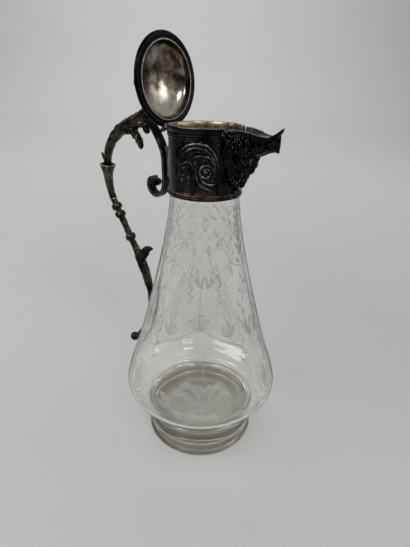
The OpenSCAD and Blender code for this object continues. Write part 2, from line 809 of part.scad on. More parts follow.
// ---------------------------------------------------------------- lid
// Everything on the lid is drawn shut, then turned back about the hinge
module opened() {
    translate([-hinge_x, 0, hinge_z]) rotate([0, -lid_open, 0])
        translate([hinge_x, 0, -hinge_z]) children();
}

module lid_ring() {
    round_r = lid_ring_h / 2;
    color(c_dark) opened() difference() {
        rotate_extrude($fn = 128) union() {
            translate([lid_ring_in, ring_z0]) square([lid_r - round_r - lid_ring_in, lid_ring_h]);
            translate([lid_r - round_r, ring_z0 + round_r]) circle(r = round_r, $fn = 32);
        }
        at_hinge() cylinder(r = knuckle_r + lid_gap, h = 3 * half_all, center = true, $fn = 48);
    }
}

module lid_bezel() {
    color(c_silver) opened() rotate_extrude($fn = 128)
        translate([bowl_r, ring_z0]) square([bezel_w - eps, lid_ring_h]);
}

// The dome swings in above its skirt and up to a narrow top for the finial:
// shares of its radius and of its height over the ring
dome_shape = [
    [1, 0], [0.94, 0.115], [0.8, 0.3], [0.56, 0.51], [0.34, 0.7], [0.2, 0.87], [0.17, 1]
];
module dome_outline(grow = 0) {
    z = ring_z1 + eps;
    polygon(concat(
        [[0, z]],
        [for (s = flow(dome_shape, 3)) [s[0] * (dome_r + grow), z + s[1] * (dome_h + grow)]],
        [[0, z + dome_h + grow]]
    ));
}
// The bowl inside is half an ellipsoid, open down to the rim
module bowl_outline() {
    polygon(concat(
        [for (a = [0 : 6 : 90]) [bowl_r * cos(a), ring_z1 + bowl_h * sin(a)]],
        [[0, ring_z0], [bowl_r, ring_z0]]
    ));
}
module lid_dome() {
    color(c_dark) opened() rotate_extrude($fn = 96) difference() {
        dome_outline();
        bowl_outline();
    }
}

module finial_seat() {
    z = dome_top + 2 * eps;
    color(c_dark) opened() rotate_extrude($fn = 64) polygon([
        [0, z], [0.9 * button_r, z], [0.9 * button_r, dome_top + 0.14 * seat_h],
        [0.5 * button_r, dome_top + 0.5 * seat_h], [0.42 * button_r, dome_top + seat_h],
        [0, dome_top + seat_h]
    ]);
}

module finial_button() {
    z = dome_top + seat_h + eps;
    color(c_dark) opened() rotate_extrude($fn = 64) polygon(concat(
        [[0, z], [0.36 * button_r, z], [0.34 * button_r, z + 0.22 * button_h]],
        [for (a = [-60 : 15 : 60])
            [button_r * (0.62 + 0.38 * cos(a)), z + button_h * (0.5 + 0.25 * sin(a))]],
        [[0.4 * button_r, z + 0.8 * button_h], [0.3 * button_r, z + 0.93 * button_h],
         [0, z + button_h]]
    ));
}

module lid_knuckle() {
    color(c_dark) opened() difference() {
        union() {
            at_hinge() cylinder(r = knuckle_r, h = middle_len, center = true, $fn = 48);
            translate([-hinge_x - knuckle_r, -half_mid, hinge_z])
                cube([1.75 * knuckle_r, middle_len, ring_z0 - hinge_z - eps]);
        }
        at_hinge() cylinder(r = pin_r + pin_play, h = 2 * middle_len, center = true, $fn = 48);
        translate([0, 0, mount_z]) cylinder(r = sleeve_r + top_out + lid_gap, h = 2 * mount_h, $fn = 96);
    }
}

// A small leaf to press with the thumb, behind the lid's ring
module thumb_lug() {
    base = [-dome_r - 0.3 * ring_edge, ring_z1 - 0.06 * lug_h];
    color(c_dark) opened() difference() {
        stem(flow([base, base + [-0.22 * lug_h, 0.4 * lug_h], base + [-0.52 * lug_h, lug_h]], 3),
             flow([0.88 * lug_t, lug_t, 0.47 * lug_t], 3), 12, 2.2);
        rotate_extrude($fn = 96) square([lid_r + eps, ring_z1 + eps]);
        rotate_extrude($fn = 96) dome_outline(eps);
    }
}

// The space that the open lid needs, a little larger than the lid
module lid_sweep() {
    opened() rotate_extrude($fn = 64) union() {
        dome_outline(lid_room);
        translate([0, ring_z0 - lid_room]) square([lid_r + lid_room, lid_ring_h + 2 * lid_room]);
    }
}

// ---------------------------------------------------------------- parts
glass_body();
plaster_seat();
mount_sleeve();
mount_foot_moulding();
mount_top_moulding();
rim_liner();
side_panel_near();
side_panel_far();
panel_scrolls_near();
panel_scrolls_far();
pouring_lip();
lip_leaf();
lip_ornament();
ornament_drop();
bracket_web();
bracket_band();
bracket_eye();
bracket_buds();
handle_branch();
branch_twigs();
branch_spur();
handle_sleeve();
handle_stem();
stem_knots();
leaf_spur();
handle_tail();
tail_knob();
hinge_knuckles();
hinge_pin();
lid_knuckle();
thumb_lug();
lid_ring();
lid_bezel();
lid_dome();
finial_seat();
finial_button();
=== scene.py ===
"""Claret jug: etched glass body, plated mount, branch handle and domed lid.

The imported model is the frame. Sizes in the classes are millimetres in that
frame: +Z is up, +X points to the pouring lip, and the origin is the centre of
the glass foot's underside. Azimuths are degrees from the pouring lip.
"""

from __future__ import annotations

import logging
import math
from dataclasses import dataclass, field
from enum import Enum
from typing import Any, Callable, Sequence

import bmesh
import bpy
import numpy as np
from mathutils import Matrix, Vector

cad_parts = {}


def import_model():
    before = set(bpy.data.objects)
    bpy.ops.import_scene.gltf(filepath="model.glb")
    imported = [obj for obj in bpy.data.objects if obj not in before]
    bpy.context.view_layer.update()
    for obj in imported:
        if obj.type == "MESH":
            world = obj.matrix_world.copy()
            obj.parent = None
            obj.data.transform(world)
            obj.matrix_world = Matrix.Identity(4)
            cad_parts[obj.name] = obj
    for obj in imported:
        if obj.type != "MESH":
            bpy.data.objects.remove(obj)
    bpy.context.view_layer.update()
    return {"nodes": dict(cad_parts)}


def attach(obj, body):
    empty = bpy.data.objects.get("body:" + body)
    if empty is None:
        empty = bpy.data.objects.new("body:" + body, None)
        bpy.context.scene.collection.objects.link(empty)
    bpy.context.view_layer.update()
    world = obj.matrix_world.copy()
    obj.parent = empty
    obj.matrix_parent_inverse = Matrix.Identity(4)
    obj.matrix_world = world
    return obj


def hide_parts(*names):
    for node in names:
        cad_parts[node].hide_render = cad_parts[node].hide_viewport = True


MM = 0.001
# Points closer than this many millimetres are one, and shorter edges go
MERGE = 2e-3
SLIVER = 1e-3
LOG = logging.getLogger("jug")
Pairs = Sequence[Sequence[float]]


class Body(Enum):
    """The two bodies that a piece can ride on."""

    JUG = "jug"
    LID = "lid"


class Slot(Enum):
    """The record's material slots, handed to each new piece, which does not use them."""

    GLASS = "clear_glass"
    TARNISHED = "tarnished_plate"
    COPPER = "copper_wear"
    GILT = "gilt_lining"
    SATIN = "satin_plate"
    BRIGHT = "bright_plate"
    PATINA = "brown_patina"


class Ends(Enum):
    """How a skin of rows is closed at its two ends."""

    FAN = "fan"
    FOLD = "fold"
    JOIN = "join"
    OPEN = "open"


# --------------------------------------------------------------------- helpers
def linear(colour: str) -> tuple[float, float, float, float]:
    """Turns an sRGB hex colour into linear light.

    Args:
        colour: "#RRGGBB".

    Returns:
        Red, green, blue and an alpha of 1.
    """
    parts = [int(colour[i:i + 2], 16) / 255 for i in (1, 3, 5)]
    return (*[c / 12.92 if c <= 0.04045 else ((c + 0.055) / 1.055) ** 2.4 for c in parts], 1.0)


def add(tree: bpy.types.NodeTree, kind: str, inputs: dict[Any, Any] | None = None,
        **settings: Any) -> bpy.types.Node:
    """Adds one node with its settings, values and links.

    Args:
        tree: The node tree.
        kind: The node's type name.
        inputs: Values or output sockets by input name or number.
        **settings: Properties of the node.

    Returns:
        The new node.
    """
    node = tree.nodes.new(kind)
    for key, value in settings.items():
        setattr(node, key, value)
    for key, value in (inputs or {}).items():
        if isinstance(value, bpy.types.NodeSocket):
            tree.links.new(value, node.inputs[key])
        else:
            node.inputs[key].default_value = value
    return node


def flow(points: Any, steps: int) -> np.ndarray:
    """The smooth curve through a list of points or numbers.

    Args:
        points: The points, one row each, or plain numbers.
        steps: New points for each stretch between two points.

    Returns:
        The points of the curve, in rows.
    """
    p = np.asarray(points, float)
    flat = p.ndim == 1
    p = p[:, None] if flat else p
    q = np.vstack([p[:1], p, p[-1:]])
    out = []
    for i in range(len(p) - 1):
        a, b, c, d = q[i:i + 4]
        for t in np.arange(steps) / steps:
            out.append(0.5 * (2 * b + (c - a) * t + (2 * a - 5 * b + 4 * c - d) * t * t
                              + (3 * b - a - 3 * c + d) * t ** 3))
    out.append(p[-1])
    result = np.array(out)
    return result[:, 0] if flat else result


def ripple(along: np.ndarray, turn: np.ndarray, seed: int, length: float,
           most: int = 8, waves: int = 16) -> np.ndarray:
    """Smooth uneven relief that closes round a stem.

    Args:
        along: Millimetres along the stem.
        turn: Radians round the stem.
        seed: Fixes the pattern.
        length: Typical length of a lump in millimetres.
        most: The finest division round the stem.
        waves: How many waves are summed.

    Returns:
        Heights of about -1 to 1, broadcast over both arrays.
    """
    rng = np.random.default_rng(seed)
    total = 0.0
    for _ in range(waves):
        k, w, phase = rng.integers(1, most + 1), rng.normal(0, 2 * np.pi / length), rng.uniform(0, 6.3)
        total = total + np.cos(k * turn + w * along + phase)
    return total / math.sqrt(waves)


def tube(line: Any, radii: Any, sides: int = 24, flat: float = 1.0,
         relief: Callable[[np.ndarray, np.ndarray], np.ndarray] | None = None,
         up: Sequence[float] = (0, 1, 0)) -> np.ndarray:
    """Rows of a round stem that follows a line.

    Args:
        line: Points of the line, [x, z] or [x, y, z].
        radii: The stem's radius at each point.
        sides: Points round the stem.
        flat: Thickness along ``up`` as a share of the width.
        relief: Height in millimetres from length along and angle round.
        up: The direction that the sections keep.

    Returns:
        An array of rows, points round a row, and x, y, z.
    """
    p = np.asarray(line, float)
    if p.shape[1] == 2:
        p = np.c_[p[:, 0], np.zeros(len(p)), p[:, 1]]
    way = np.gradient(p, axis=0)
    way /= np.linalg.norm(way, axis=1)[:, None]
    side = np.cross(np.asarray(up, float)[None], way)
    side /= np.linalg.norm(side, axis=1)[:, None]
    over = np.cross(way, side)
    along = np.r_[0, np.cumsum(np.linalg.norm(np.diff(p, axis=0), axis=1))][:, None]
    turn = np.linspace(0, 2 * np.pi, sides, endpoint=False)[None]
    r = np.asarray(radii, float)[:, None] * np.ones_like(turn)
    if relief is not None:
        r = r + relief(along, turn)
    return (p[:, None] + (r * np.cos(turn))[..., None] * side[:, None]
            + (flat * r * np.sin(turn))[..., None] * over[:, None])


def lathe(profile: Any, sides: int = 192) -> np.ndarray:
    """Rows of a turned shape from its [radius, height] points.

    Args:
        profile: Points [radius, height].
        sides: Points round a row.

    Returns:
        An array of rows, points round a row, and x, y, z.
    """
    p = np.asarray(profile, float)
    a = np.linspace(0, 2 * np.pi, sides, endpoint=False)
    return np.stack([p[:, :1] * np.cos(a), p[:, :1] * np.sin(a), p[:, 1:] * np.ones_like(a)], axis=-1)


def ball(centre: Sequence[float], radius: Any, sides: int = 16, rings: int = 10) -> np.ndarray:
    """Rows of a ball or ellipsoid, from pole to pole.

    Args:
        centre: Its middle in millimetres.
        radius: One radius, or one for each axis.
        sides: Points round a row.
        rings: Rows from pole to pole.

    Returns:
        The rows.
    """
    t = np.linspace(-np.pi / 2, np.pi / 2, rings)
    rows = lathe(np.c_[np.cos(t), np.sin(t)], sides)
    return rows * np.asarray(radius, float) + np.asarray(centre, float)


# -------------------------------------------------------------------- finishes
@dataclass(frozen=True)
class Finish:
    """A finish, whose material is made once and then shared."""

    name: str

    def material(self) -> bpy.types.Material:
        """The material, made on first use."""
        made = bpy.data.materials.get(self.name)
        if made is None:
            made = bpy.data.materials.new(self.name)
            made.use_nodes = True
            made.node_tree.nodes.clear()
            shader = self.surface(made.node_tree)
            add(made.node_tree, "ShaderNodeOutputMaterial", {"Surface": shader})
        return made

    def surface(self, tree: bpy.types.NodeTree) -> bpy.types.NodeSocket:
        """Builds the shader and returns its output."""
        raise NotImplementedError

    def noise(self, tree: bpy.types.NodeTree, size: float, detail: float = 4.0,
              roughness: float = 0.55) -> bpy.types.NodeSocket:
        """Noise on object coordinates, whose patches are ``size`` millimetres.

        Args:
            tree: The material's node tree.
            size: Size of a patch in millimetres.
            detail: How many finer layers are added.
            roughness: How strong these are.

        Returns:
            A value of about 0 to 1.
        """
        place = add(tree, "ShaderNodeTexCoord").outputs["Object"]
        return add(tree, "ShaderNodeTexNoise", {
            "Vector": place, "Scale": 1 / (size * MM), "Detail": detail,
            "Roughness": roughness}).outputs[0]

    def ranged(self, tree: bpy.types.NodeTree, value: Any, low: float, high: float,
               to: tuple[float, float] = (0.0, 1.0)) -> bpy.types.NodeSocket:
        """Maps low..high smoothly to the two ends of ``to``.

        Args:
            tree: The material's node tree.
            value: The value, as a socket.
            low: Where the range starts.
            high: Where it ends.
            to: What these two become.

        Returns:
            The mapped value.
        """
        return add(tree, "ShaderNodeMapRange", {
            0: value, 1: low, 2: high, 3: to[0], 4: to[1]},
            interpolation_type="SMOOTHSTEP").outputs[0]

    def blend(self, tree: bpy.types.NodeTree, share: Any, first: Any,
              second: Any) -> bpy.types.NodeSocket:
        """Mixes two colours, given as sockets or hex.

        Args:
            tree: The material's node tree.
            share: Share of the second colour.
            first: First colour.
            second: Second colour.

        Returns:
            The mixed colour.
        """
        first, second = (linear(c) if isinstance(c, str) else c for c in (first, second))
        return add(tree, "ShaderNodeMix", {0: share, 6: first, 7: second},
                   data_type="RGBA").outputs[2]

    def times(self, tree: bpy.types.NodeTree, first: Any, second: Any) -> bpy.types.NodeSocket:
        """The product of two values."""
        return add(tree, "ShaderNodeMath", {0: first, 1: second}, operation="MULTIPLY").outputs[0]


@dataclass(frozen=True)
class Plate(Finish):
    """Plated or patinated metal: two tones in cloudy patches, bright wear on its
    ridges, pushed brighter on some finishes as a painted highlight, dirt in its
    hollows and a fine grain."""

    base: str
    deep: str
    worn: str
    patch: float = 7.0
    # Real polishing marks are finer, and this is the finest grain that shows
    grain: float = 0.35
    rough: tuple[float, float] = (0.3, 0.5)
    wear: tuple[float, float] = (0.53, 0.62)
    wear_and_glint_most: float = 0.8
    bump: float = 0.03

    def colour(self, tree: bpy.types.NodeTree) -> bpy.types.NodeSocket:
        """The patches, with wear and, on some finishes, a painted highlight on ridges, and dirt in hollows.

        Args:
            tree: The material's node tree.

        Returns:
            The colour.
        """
        patches = self.ranged(tree, self.noise(tree, self.patch), 0.38, 0.62)
        tone = self.blend(tree, patches, self.deep, self.base)
        point = add(tree, "ShaderNodeNewGeometry").outputs["Pointiness"]
        hollow = self.ranged(tree, point, 0.5, 0.42, (0.0, 0.75))
        tone = self.blend(tree, hollow, tone, self.deep)
        # Ridges get the worn colour: real rubbing, and on the relief and handle castings also a painted
        # highlight
        rubbed = self.ranged(tree, self.noise(tree, 2.6), 0.35, 0.6, (0.25, self.wear_and_glint_most))
        ridge_wear_and_glint = self.times(tree, self.ranged(tree, point, *self.wear), rubbed)
        return self.blend(tree, ridge_wear_and_glint, tone, self.worn)

    def surface(self, tree: bpy.types.NodeTree) -> bpy.types.NodeSocket:
        """Metal with the patched colour and a roughness that follows its grain.

        Args:
            tree: The material's node tree.

        Returns:
            The shader's output.
        """
        fine = self.noise(tree, self.grain, 3.0)
        smear = self.noise(tree, 4.0 * self.patch / 7.0)
        bumped = add(tree, "ShaderNodeBump", {
            "Height": fine, "Distance": self.bump * MM, "Strength": 0.7}).outputs[0]
        return add(tree, "ShaderNodeBsdfPrincipled", {
            "Base Color": self.colour(tree), "Metallic": 1.0,
            "Roughness": self.ranged(tree, smear, 0.3, 0.7, self.rough),
            "Normal": bumped}).outputs[0]


@dataclass(frozen=True)
class EmbossedPlate(Plate):
    """Plate on a round panel, rubbed bright on what stands out of the panel and
    worn to copper along its foot."""

    panel_r: float = 23.39
    copper: str = "#5E3A32"
    copper_top: float = 198.5

    def colour(self, tree: bpy.types.NodeTree) -> bpy.types.NodeSocket:
        """The patches, brighter with the height of the relief.

        Args:
            tree: The material's node tree.

        Returns:
            The colour.
        """
        place = add(tree, "ShaderNodeTexCoord").outputs["Object"]
        level = add(tree, "ShaderNodeVectorMath", {0: place, 1: (1, 1, 0)},
                    operation="MULTIPLY").outputs[0]
        out = add(tree, "ShaderNodeVectorMath", {0: level}, operation="LENGTH").outputs["Value"]
        raised = self.ranged(tree, out, (self.panel_r + 0.55) * MM, (self.panel_r + 1.15) * MM)
        rubbed = self.ranged(tree, self.noise(tree, 2.2), 0.36, 0.6, (0.08, 0.6))
        tone = self.blend(tree, self.times(tree, raised, rubbed), super().colour(tree), self.worn)
        height = add(tree, "ShaderNodeSeparateXYZ", {0: place}).outputs[2]
        low = self.ranged(tree, height, self.copper_top * MM, (self.copper_top - 3.5) * MM)
        spots = self.ranged(tree, self.noise(tree, 7.0, 3.0), 0.45, 0.62)
        return self.blend(tree, self.times(tree, low, spots), tone, self.copper)


@dataclass(frozen=True)
class TarnishAndShadeBowl(Plate):
    """Polished plate whose upper part, as the lid rests open, is grey-brown: tarnish clouds that also paint
    in the darker reflection there.
    """

    tarnish_and_shade: str = "#55493F"
    clear_below: float = 243.0
    tarnish_and_shade_above: float = 253.0

    def colour(self, tree: bpy.types.NodeTree) -> bpy.types.NodeSocket:
        """Bright metal below, tarnish clouds above that also serve as painted shade.

        Args:
            tree: The material's node tree.

        Returns:
            The colour.
        """
        place = add(tree, "ShaderNodeTexCoord").outputs["Object"]
        height = add(tree, "ShaderNodeSeparateXYZ", {0: place}).outputs[2]
        drift = self.noise(tree, 9.0, 3.0)
        lifted = add(tree, "ShaderNodeMath", {0: drift, 1: 0.02, 2: height},
                     operation="MULTIPLY_ADD").outputs[0]
        # Painted shade: grey-brown above a height in the opened pose, as tarnish clouds that also darken the
        # part of the bowl that reflects less light
        upper = self.ranged(tree, lifted, (self.clear_below + 10) * MM,
                            (self.tarnish_and_shade_above + 10) * MM)
        clouds = self.ranged(tree, self.noise(tree, 6.0, 6.0, 0.7), 0.36, 0.62, (0.45, 1.0))
        tone = self.blend(tree, self.ranged(tree, self.noise(tree, self.patch), 0.35, 0.7),
                          self.base, self.deep)
        tone = self.blend(tree, self.times(tree, upper, clouds), tone, self.tarnish_and_shade)
        spots = self.ranged(tree, self.noise(tree, 2.2, 5.0, 0.7), 0.62, 0.72, (0.0, 0.6))
        return self.blend(tree, spots, tone, self.tarnish_and_shade)


@dataclass(frozen=True)
class ClearGlass(Finish):
    """Blown soda-lime glass: clear, with the faint waviness of a blown wall."""

    tint: str = "#FEFEFC"
    smoky: str = "#F8F8F5"
    # Grey painted along the glass's outline as shade, standing in for its dark refraction there
    edge: str = "#5A5C5A"
    # The foot's grey-brown: partly the tint of thick glass, partly painted shade for the dark room that the
    # foot reflects
    foot: str = "#9B9288"
    # Browner towards the handle: a painted refraction of the dark handle
    brown: str = "#85776E"
    foot_top: float = 28.0
    clear_r: float = 25.0

    def surface(self, tree: bpy.types.NodeTree) -> bpy.types.NodeSocket:
        """Refracting glass that lets light through to what it stands on. Its thick
        foot is tinted grey-brown, partly as its glass and partly as painted shade for
        the dark room it reflects, and browner towards the handle as a painted refraction
        of the handle; its outline is darkened as painted shade.

        Args:
            tree: The material's node tree.

        Returns:
            The shader's output.
        """
        tone = self.blend(tree, self.noise(tree, 30.0), self.tint, self.smoky)
        place = add(tree, "ShaderNodeTexCoord").outputs["Object"]
        along, _, height = add(tree, "ShaderNodeSeparateXYZ", {0: place}).outputs
        level = add(tree, "ShaderNodeVectorMath", {0: place, 1: (1, 1, 0)},
                    operation="MULTIPLY").outputs[0]
        out = add(tree, "ShaderNodeVectorMath", {0: level}, operation="LENGTH").outputs["Value"]
        # Painted shade in the thick foot outside clear_r, turning browner towards the handle as its painted
        # refraction
        thick = self.times(
            tree, self.ranged(tree, height, (self.foot_top + 2) * MM, (self.foot_top - 6) * MM),
            self.ranged(tree, out, self.clear_r * MM, (self.clear_r + 9) * MM, (0.75, 1.0)))
        foot_shade_and_handle_refraction = self.blend(tree, self.ranged(tree, along, 6 * MM, -14 * MM), self.foot, self.brown)
        tone = self.blend(tree, thick, tone, foot_shade_and_handle_refraction)
        # Painted shade at grazing angles: the colour turns to the edge grey and a matt grey shader is mixed
        # in, standing in for the dark refraction along the glass's outline
        facing = add(tree, "ShaderNodeLayerWeight", {"Blend": 0.5}).outputs["Facing"]
        tone = self.blend(tree, self.ranged(tree, facing, 0.68, 0.97), tone, self.edge)
        wave = add(tree, "ShaderNodeBump", {
            "Height": self.noise(tree, 14.0, 1.0), "Distance": 0.07 * MM,
            "Strength": 0.5}).outputs[0]
        glass = add(tree, "ShaderNodeBsdfPrincipled", {
            "Base Color": tone, "Transmission Weight": 1.0, "IOR": 1.5,
            "Roughness": self.ranged(tree, self.noise(tree, 20.0), 0.3, 0.7, (0.0, 0.012)),
            "Normal": wave}).outputs[0]
        line = add(tree, "ShaderNodeBsdfPrincipled", {
            "Base Color": linear(self.edge), "Roughness": self.ranged(
                tree, self.noise(tree, 20.0), 0.3, 0.7, (0.25, 0.35))}).outputs[0]
        glass = add(tree, "ShaderNodeMixShader", {
            0: self.ranged(tree, facing, 0.7, 0.93, (0.0, 0.8)), 1: glass, 2: line}).outputs[0]
        through = add(tree, "ShaderNodeBsdfTransparent", {"Color": linear("#E9EBE9")}).outputs[0]
        shadow = add(tree, "ShaderNodeLightPath").outputs["Is Shadow Ray"]
        return add(tree, "ShaderNodeMixShader", {0: shadow, 1: glass, 2: through}).outputs[0]


@dataclass(frozen=True)
class EtchedFilm(Finish):
    """The frost that acid leaves on glass: matt, pale and half see-through, and
    denser where it is seen along its surface."""

    frost: str = "#A3A4A0"
    thin: str = "#8A8B87"
    cover: tuple[float, float] = (0.38, 0.85)
    facing: tuple[float, float] = (0.3, 0.9)

    def surface(self, tree: bpy.types.NodeTree) -> bpy.types.NodeSocket:
        """A thin matt film. Its real grain is too fine to show, so it is drawn at
        a third of a millimetre.

        Args:
            tree: The material's node tree.

        Returns:
            The shader's output.
        """
        grain = self.noise(tree, 0.35, 3.0)
        tone = self.blend(tree, self.ranged(tree, grain, 0.35, 0.65), self.thin, self.frost)
        facing = add(tree, "ShaderNodeLayerWeight", {"Blend": 0.5}).outputs["Facing"]
        return add(tree, "ShaderNodeBsdfPrincipled", {
            "Base Color": tone, "Alpha": self.ranged(tree, facing, *self.facing, self.cover),
            "Roughness": self.ranged(tree, grain, 0.3, 0.7, (0.45, 0.7))}).outputs[0]


@dataclass(frozen=True)
class Matt(Finish):
    """A plain matt surface with soft patches, such as plaster or a paper floor."""

    first: str
    second: str
    patch: float

    def surface(self, tree: bpy.types.NodeTree) -> bpy.types.NodeSocket:
        """Matt, with a faint grain.

        Args:
            tree: The material's node tree.

        Returns:
            The shader's output.
        """
        tone = self.blend(tree, self.noise(tree, self.patch), self.first, self.second)
        grain = self.noise(tree, self.patch / 20)
        return add(tree, "ShaderNodeBsdfPrincipled", {
            "Base Color": tone,
            "Roughness": self.ranged(tree, grain, 0.3, 0.7, (0.8, 0.95))}).outputs[0]


# Silver plate gone blue-black under its sulphide skin, which shines like lacquer
BLACK_PLATE = Plate("silver_plate_oxidised", "#24272B", "#101113", "#A09B94",
                    rough=(0.15, 0.3), patch=9.0)
# The thickest skin, quite black, on the lid's rim that hands seldom touch
BLACK_RIM = Plate("silver_rim_oxidised", "#17191B", "#090A0A", "#77736E",
                  rough=(0.14, 0.26), patch=9.0)
# The same skin on the embossed panels, brown in places and rubbed on the scrolls
BLACK_PANEL = EmbossedPlate("silver_panel_oxidised", "#282D33", "#12100D", "#A3A09C",
                            rough=(0.14, 0.3), patch=7.0, wear=(0.53, 0.62))
# The same skin on deep relief, whose hollows have never been polished; its ridges are worn to a pale grey
# that is pushed brighter as painted highlights
BLACK_RELIEF = Plate("silver_relief_oxidised", "#202022", "#060606", "#BEB5AB",
                     rough=(0.09, 0.22), patch=5.0, wear=(0.53, 0.63), wear_and_glint_most=0.85)
# Cast nickel silver, brown-black, its ridges rubbed to grey-brown and widened into painted highlight lines
BROWN_CAST = Plate("cast_brown_patina", "#463C34", "#221D19", "#A8957F",
                   rough=(0.2, 0.36), patch=8.0, wear=(0.515, 0.6), wear_and_glint_most=0.8)
# The same casting where a hand holds it, its rim polished to silver
RUBBED_CAST = Plate("cast_patina_rubbed", "#5C524A", "#2B2521", "#DAD2C8",
                    rough=(0.2, 0.34), patch=8.0, wear=(0.51, 0.56), wear_and_glint_most=0.95)
# Plate worn through to the pinkish base metal, dark again in its hollows
WORN_COPPER = Plate("plate_worn_to_copper", "#413635", "#181514", "#B59C95",
                    rough=(0.24, 0.42), patch=4.0, wear=(0.51, 0.56))
# Satin silver, grey-brown, kept clean by wine and washing
SATIN = Plate("silver_plate_satin", "#A59F97", "#79726A", "#E8E4DC",
              rough=(0.24, 0.38), patch=10.0, wear=(0.51, 0.56))
# The same silver where tarnish has begun, brown beside the black rim
BEAD = Plate("silver_bead_tarnished", "#6F675E", "#37312C", "#D8D4CC",
             rough=(0.2, 0.36), patch=9.0, wear=(0.52, 0.6))
# Fire gilding, dull, rubbed to the silver in places
GILT = Plate("gilding_rubbed", "#96825F", "#5A4C3C", "#D9CCB0",
             rough=(0.25, 0.42), patch=5.0, wear=(0.51, 0.56))
# Silver plate, polished and bright low in the opened bowl, clouded higher up with tarnish that also paints
# in the darker reflection there
BOWL = TarnishAndShadeBowl("silver_plate_polished", "#CFC8B9", "#9A9284", "#F2EEE4",
                     rough=(0.12, 0.26), patch=8.0)
STEEL = Plate("drawn_steel", "#8A8A8C", "#6C6C70", "#B5B5B8", patch=2.0)
GLASS = ClearGlass("blown_glass")
FROST = EtchedFilm("acid_etched_frost")
# Bitten for a shorter time, so that it hardly shows when looked at squarely
THIN_FROST = EtchedFilm("acid_etched_thin_frost", cover=(0.08, 0.7), facing=(0.04, 0.5))
# The same frost on the two sides that lie behind, fainter still
FAINT_FROST = EtchedFilm("acid_etched_faint_frost", cover=(0.12, 0.5))
# Bitten longest on the belly, so that it stands pale against the smoky foot
DEEP_FROST = EtchedFilm("acid_etched_deep_frost", "#B8B9B5", "#9C9D99", cover=(0.44, 0.88))
PLASTER = Matt("set_plaster", "#C9C3B4", "#B4AD9D", 5.0)


# ---------------------------------------------------------------------- meshes
class Shape:
    """Closed skins in millimetres, gathered into one piece."""

    def __init__(self) -> None:
        """Starts with nothing in it."""
        self.points: list[np.ndarray] = []
        self.faces: list[list[int]] = []
        self.count = 0

    def skin(self, rows: np.ndarray, ends: Ends = Ends.FAN, wrap: bool = True) -> "Shape":
        """Adds a skin of rows of points.

        Args:
            rows: Rows, points in a row, and x, y, z in millimetres.
            ends: How the first and last row are closed.
            wrap: Whether each row closes on itself.

        Returns:
            This shape.
        """
        n, m = rows.shape[:2]
        index = np.arange(n * m).reshape(n, m) + self.count
        grid = np.vstack([index, index[:1]]) if ends is Ends.JOIN else index
        grid = np.hstack([grid, grid[:, :1]]) if wrap else grid
        quads = np.stack([grid[:-1, :-1], grid[:-1, 1:], grid[1:, 1:], grid[1:, :-1]], -1)
        self.faces += quads.reshape(-1, 4).tolist()
        self.points.append(rows.reshape(-1, 3))
        self.count += n * m
        if ends is Ends.FOLD:
            for row in (index[0], index[-1]):
                half = m // 2
                self.faces += [[row[k], row[k + 1], row[m - 2 - k], row[m - 1 - k]]
                               for k in range(half - 1)]
        if ends is Ends.FAN:
            for row, points in ((index[0], rows[0]), (index[-1], rows[-1])):
                self.points.append(points.mean(axis=0)[None])
                self.faces += [[int(row[k]), int(row[(k + 1) % m]), self.count] for k in range(m)]
                self.count += 1
        return self

    def mesh(self, name: str) -> bpy.types.Mesh:
        """The gathered skins as one mesh in metres, joined and facing outwards.

        Args:
            name: Name of the mesh.

        Returns:
            The new mesh.
        """
        mesh = bpy.data.meshes.new(name)
        mesh.from_pydata((np.vstack(self.points) * MM).tolist(), [], self.faces)
        work = bmesh.new()
        work.from_mesh(mesh)
        bmesh.ops.remove_doubles(work, verts=work.verts, dist=MERGE * MM)
        bmesh.ops.dissolve_degenerate(work, edges=work.edges, dist=SLIVER * MM)
        bmesh.ops.recalc_face_normals(work, faces=work.faces)
        work.to_mesh(mesh)
        work.free()
        return mesh

    def fused(self, voxel: float, soften: int = 2) -> "Shape":
        """Melts the skins into one, as a casting.

        Args:
            voxel: Size of the grid in millimetres.
            soften: Rounds of smoothing.

        Returns:
            A new shape of one skin.
        """
        holder = bpy.data.objects.new("fusing", self.mesh("fusing"))
        bpy.context.scene.collection.objects.link(holder)
        remesh = holder.modifiers.new("voxels", "REMESH")
        remesh.mode, remesh.voxel_size = "VOXEL", voxel * MM
        smooth = holder.modifiers.new("soft", "SMOOTH")
        smooth.iterations, smooth.factor = soften, 0.5
        result = plain_mesh(holder)
        shape = Shape()
        points = np.empty(len(result.vertices) * 3)
        result.vertices.foreach_get("co", points)
        shape.points = [points.reshape(-1, 3) / MM]
        shape.faces = [list(face.vertices) for face in result.polygons]
        shape.count = len(result.vertices)
        bpy.data.objects.remove(holder)
        return shape

    def moved(self, matrix: Matrix) -> "Shape":
        """Turns and moves every point by a matrix in millimetres.

        Args:
            matrix: The turn and move.

        Returns:
            This shape.
        """
        m = np.array(matrix)
        self.points = [p @ m[:3, :3].T + m[:3, 3] for p in self.points]
        return self

    def piece(self, name: str, finish: Finish, slot: Slot, body: Body = Body.JUG,
              replaces: Sequence[str] = (), sharp: float = 45.0) -> bpy.types.Object:
        """Makes the piece and puts it on its body.

        Args:
            name: Name of the piece.
            finish: What it is finished in.
            slot: The record's slot that the finish belongs to. Not used.
            body: The body it rides on.
            replaces: CAD nodes that it stands for.
            sharp: Edges steeper than this, in degrees, stay crisp.

        Returns:
            The new object.
        """
        mesh = self.mesh(name)
        return finished(mesh, name, finish, body, replaces, sharp)


def plain_mesh(holder: bpy.types.Object) -> bpy.types.Mesh:
    """The evaluated mesh of an object, as a plain mesh of its own.

    Args:
        holder: The object, with its modifiers.

    Returns:
        A new mesh.
    """
    graph = bpy.context.evaluated_depsgraph_get()
    graph.update()
    return bpy.data.meshes.new_from_object(holder.evaluated_get(graph), depsgraph=graph)


